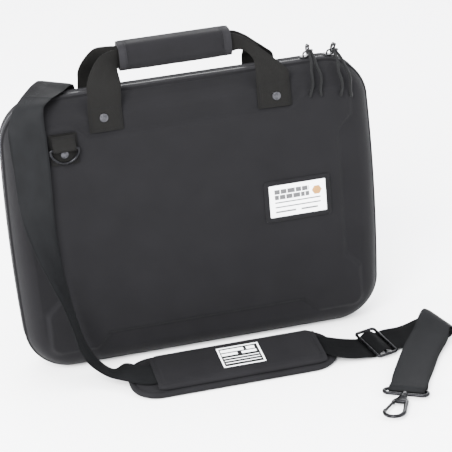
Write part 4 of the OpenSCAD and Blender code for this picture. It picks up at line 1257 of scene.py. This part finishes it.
class CARRYCASE_OT_pad(bpy.types.Operator):
    """Makes the shoulder pad: quilted base, padded sleeve over the strap, sewing and a printed patch."""

    bl_idname = "carry_case.pad"
    bl_label = "Shoulder pad"

    def execute(self, context):
        lift = np.array([0, PAD_HALF_W, 0])
        base = pillow(111, 38, 30, [(38, 0.25), (9, 0.1), (3, 0.1), (0.9, 0.7), (0.1, 2.0), (0.0, 3.2),
                                    (0.2, 4.4),
                                    (1.2, 5.7), (2.6, 6.15), (4.4, 6.1), (5.4, 5.5), (5.9, 5.15), (6.4, 5.5),
                                    (7.6, 6.1), (12, 6.35), (38, 6.4)], 14, 56, 12)
        points = base[0].copy()
        wave = 0.22 * np.sin(points[:, 0] / 9.0) * np.sin(points[:, 1] / 7.0)
        points[:, 2] += np.where(points[:, 2] > 3, wave, 0) * (np.abs(points[:, 1]) > 28)
        cloth = add_piece("pad_base_cloth", (on_pad(points + lift), base[1]), finish_of("pad"),
                          "shoulder_pad", ["shoulder_pad_base"], sharp=60)
        seam = rounded_loop(111 - 5.9, 38 - 5.9, 24.1, 14, 56, 12)
        line = np.column_stack([seam, np.full(len(seam), 5.25)])
        line = np.concatenate([line, line[:1]])
        tall = 12.3
        rings = []
        for x in np.linspace(-84, 96, 80):
            ends = float(soft_step(min(x + 84, 96 - x), 0.0, 9.0))
            seam_dip = 0.7 * math.exp(-((min(x + 84, 96 - x) - 4.5) / 1.1) ** 2)
            wide = 32.5 - 2.5 * (1 - ends)
            y = np.linspace(-wide, wide, 31)
            edge = np.clip((wide + 0.3 - np.abs(y)) / 8.0, 0, 1)
            top = 7.2 + (tall - 7.2) * np.sqrt(1 - (1 - edge) ** 2) * (0.78 + 0.22 * ends)
            top = top + 0.14 * np.sin(x / 5.3 + y / 9.0) * edge * ends - seam_dip * edge
            top -= 0.8 * np.exp(-((np.abs(y) - 27.6) / 1.0) ** 2)
            top = np.maximum(top, 7.0)
            under = [(wide, 6.65), (21, 6.65), (21, 10.0), (-21, 10.0), (-21, 6.65), (-wide, 6.65)]
            ring = np.concatenate([np.column_stack([y, top]), under])
            rings.append(np.column_stack([np.full(len(ring), x), ring]))
        points, faces = loft(rings, caps=True)
        sleeve = add_piece("pad_sleeve_cloth", (on_pad(points + lift), faces), finish_of("pad"),
                           "shoulder_pad", ["shoulder_pad_sleeve"], sharp=60)
        rows = [stitches(on_pad(line + lift), turned([(0, 0, 1)], PAD_TILT, "X"), 3.2, 2.2, 0.32)]
        for x in (-79.5, 91.5):
            y = np.linspace(-24, 24, 20)
            row = np.column_stack([np.full(20, x), y, np.full(20, 11.2)])
            rows.append(stitches(on_pad(row + lift), turned([(0, 0, 1)], PAD_TILT, "X"), 3.2, 2.2, 0.32))
        for y in (-27.6, 27.6):
            x = np.linspace(-79.5, 91.5, 60)
            row = np.column_stack([x, np.full(60, y), np.full(60, 11.0)])
            rows.append(stitches(on_pad(row + lift), turned([(0, 0, 1)], PAD_TILT, "X"), 3.2, 2.2, 0.32))
        add_piece("pad_sewing", joined(rows), finish_of("thread"), "shoulder_pad", [])
        at = np.array([10.0, 38.0, 0.0])
        patch = pillow(24, 20.5, 1.2, [(20.5, 12.4), (0.3, 12.4), (0, 12.55), (0.1, 12.8), (0.5, 12.88),
                                       (20.5, 12.88)], 4, 20, 16)
        add_piece("pad_patch", (on_pad(patch[0] + at), patch[1]), finish_of("pad"), "shoulder_pad",
                  ["shoulder_pad_label"], sharp=60)
        ink = [(0, 18.6, 22.6, 0.9), (0, -18.6, 22.6, 0.9), (-21.7, 0, 0.9, 18.6), (21.7, 0, 0.9, 18.6),
               (-7, 12.2, 12.5, 2.6), (13.0, 12.2, 4.5, 2.6), (-11, 5.0, 8.5, 2.2), (10, 5.0, 8.0, 2.2),
               (0, -2.2, 19.0, 0.6), (0, -7.2, 19.0, 0.6), (0, -12.4, 19.0, 0.6)]
        marks = flat_marks(ink, 12.98)
        add_piece("pad_ruling", (on_pad(marks[0] + at), marks[1]), finish_of("paper"), "shoulder_pad", [])
        return {"FINISHED"}


class CARRYCASE_OT_tri_glide(bpy.types.Operator):
    """Makes the tri-glide that shortens the strap: a rounded wire frame and its sliding bar."""

    bl_idname = "carry_case.tri_glide"
    bl_label = "Tri-glide"

    def execute(self, context):
        loop = rounded_loop(11.5, 22.5, 3.0, 8, 12, 22)
        wire = tube(np.column_stack([loop, np.zeros(len(loop))]), 1.6, 16, closed=True)
        add_piece("glide_frame", (on_glide(wire[0]), wire[1]), finish_of("metal"), "tri_glide",
                  ["tri_glide_frame"])
        y = np.linspace(-20.6, 20.6, 30)
        bar = tube(np.column_stack([np.zeros(30), y, np.zeros(30)]), np.where(np.abs(y) > 19, 1.55, 1.35), 16)
        add_piece("glide_bar", (on_glide(bar[0]), bar[1]), finish_of("metal"), "tri_glide", ["tri_glide_bar"])
        return {"FINISHED"}


def hook_parts():
    """The eye, the body and the gate of one snap hook, eye at the origin and jaw towards -Y."""
    half, bend = 18.0, 5.0
    a = np.radians(np.linspace(-90, 90, 14))
    loop = [(half + bend * math.cos(t), bend * math.sin(t)) for t in a]
    loop += [(x, bend - 0.35 * math.cos(x / half * math.pi / 2)) for x in np.linspace(half, -half, 22)[1:-1]]
    loop += [(-half - bend * math.cos(t), -bend * math.sin(t)) for t in a[::-1] * -1]
    loop += [(x, -bend) for x in np.linspace(-half, half, 22)[1:-1]]
    eye_ring = tube(np.array([(x, y, 0) for x, y in loop]), 1.8, 16, closed=True)
    boss = turned_part([(2.1, 10.3), (3.3, 10.3), (3.75, 9.9), (3.8, 8.0), (3.4, 6.6), (3.3, 5.0), (3.0, 3.6),
                        (2.1, 3.5)], 32)
    boss_points = turned(boss[0], 90, "X")
    eye = joined([eye_ring, (boss_points, boss[1])])
    head = turned_part([(0.1, 4.7), (1.9, 4.8), (1.95, 10.5), (3.9, 10.7), (4.25, 11.2), (4.3, 12.4),
                        (3.9, 13.0), (4.2, 13.6), (4.3, 14.6), (4.1, 15.2)], 32)
    head_points = turned(head[0], 90, "X")
    across = np.arange(32) * 2 * math.pi / 32
    rings = []
    for y, wide, deep in ((-14.6, 4.0, 4.0), (-15.4, 4.9, 3.6), (-16.8, 6.6, 2.9), (-18.6, 8.2, 2.4),
                          (-20.4, 8.9, 2.2), (-21.8, 8.7, 2.1), (-22.6, 7.6, 1.7), (-22.9, 4.0, 0.9)):
        rings.append(np.column_stack([wide * np.cos(across), np.full(32, y), deep * np.sin(across)]))
    shoulder = loft(rings, caps=True)
    bottom = [(10 * math.cos(t), -43 + 10 * math.sin(t)) for t in np.radians(np.linspace(0, -180, 28))]
    line = [(6.2, -20.5), (7.0, -25.0), (8.2, -31.5), (9.3, -38.0)] + bottom + [(-10.0, -42.2)]
    path = smooth_line(np.array([(x, y, 0) for x, y in line]), 1.2)
    t = np.linspace(0, 1, len(path))
    jaw = tube(path, 2.35 - 0.35 * soft_step(t, 0.2, 0.6) + 0.15 * soft_step(t, 0.85, 1.0), 16, flat=0.92)
    body = joined([(head_points, head[1]), shoulder, jaw])
    lean = math.atan((10 - 6.6) / (43 - 23.5))
    steps = np.linspace(0, 18.0, 16)
    leaf = np.column_stack([-6.6 - steps * math.sin(lean), -23.5 - steps * math.cos(lean), np.zeros(16)])
    arm = tube(leaf, np.interp(steps, [0, 3, 16, 18], [1.5, 1.6, 1.6, 1.75]), 14)
    knuckle = turned_part([(0.2, -2.0), (1.5, -2.0), (1.7, -1.7), (1.7, 1.7), (1.5, 2.0), (0.2, 2.0)], 24)
    gate = joined([arm, (knuckle[0] + [-6.6, -23.9, 0], knuckle[1])])
    return eye, body, gate


class CARRYCASE_OT_hooks(bpy.types.Operator):
    """Makes the two swivel snap hooks: the free one on the ground and the one clipped behind."""

    bl_idname = "carry_case.hooks"
    bl_label = "Snap hooks"

    def execute(self, context):
        eye, body, gate = hook_parts()
        rows = (("hook_eye_front", eye, on_free_hook, "front_half"),
                ("hook_body_front", body, on_free_hook, "snap_hook"),
                ("hook_gate_front", gate, on_free_hook, "snap_gate"),
                ("hook_eye_rear", eye, lambda p: on_rear_hook(p, 0), "rear_half"),
                ("hook_body_rear", body, on_rear_hook, "rear_half"),
                ("hook_gate_rear", gate, on_rear_hook, "rear_half"))
        for node, part, place, rides in rows:
            add_piece(node + "_metal", (place(part[0]), part[1]), finish_of("metal"), rides, [node])
        return {"FINISHED"}


OPERATORS = (
    CARRYCASE_OT_stage, CARRYCASE_OT_hooks, CARRYCASE_OT_strap, CARRYCASE_OT_pull_cords,
    CARRYCASE_OT_shells, CARRYCASE_OT_zips, CARRYCASE_OT_sliders, CARRYCASE_OT_handles, CARRYCASE_OT_grip,
    CARRYCASE_OT_d_rings, CARRYCASE_OT_label, CARRYCASE_OT_foam, CARRYCASE_OT_pad, CARRYCASE_OT_tri_glide,
)


class CARRYCASE_PT_panel(bpy.types.Panel):
    """Lists the case's pieces in the sidebar."""

    bl_label = "Carry Case"
    bl_idname = "CARRYCASE_PT_panel"
    bl_space_type = "VIEW_3D"
    bl_region_type = "UI"
    bl_category = "Carry Case"

    def draw(self, context):
        for group in (context.scene.carry_case_sizes, context.scene.carry_case_colours):
            for key in group.__annotations__:
                self.layout.prop(group, key)
        for operator in OPERATORS:
            self.layout.operator(operator.bl_idname)


CLASSES = (CarryCaseSizes, CarryCaseColours) + OPERATORS + (CARRYCASE_PT_panel,)


def register():
    for cls in CLASSES:
        bpy.utils.register_class(cls)
    bpy.types.Scene.carry_case_sizes = bpy.props.PointerProperty(type=CarryCaseSizes)
    bpy.types.Scene.carry_case_colours = bpy.props.PointerProperty(type=CarryCaseColours)


def unregister():
    del bpy.types.Scene.carry_case_colours
    del bpy.types.Scene.carry_case_sizes
    for cls in reversed(CLASSES):
        bpy.utils.unregister_class(cls)


def main():
    register()
    for operator in OPERATORS:
        group, name = operator.bl_idname.split(".")
        getattr(getattr(bpy.ops, group), name)()


if __name__ == "__main__":
    main()
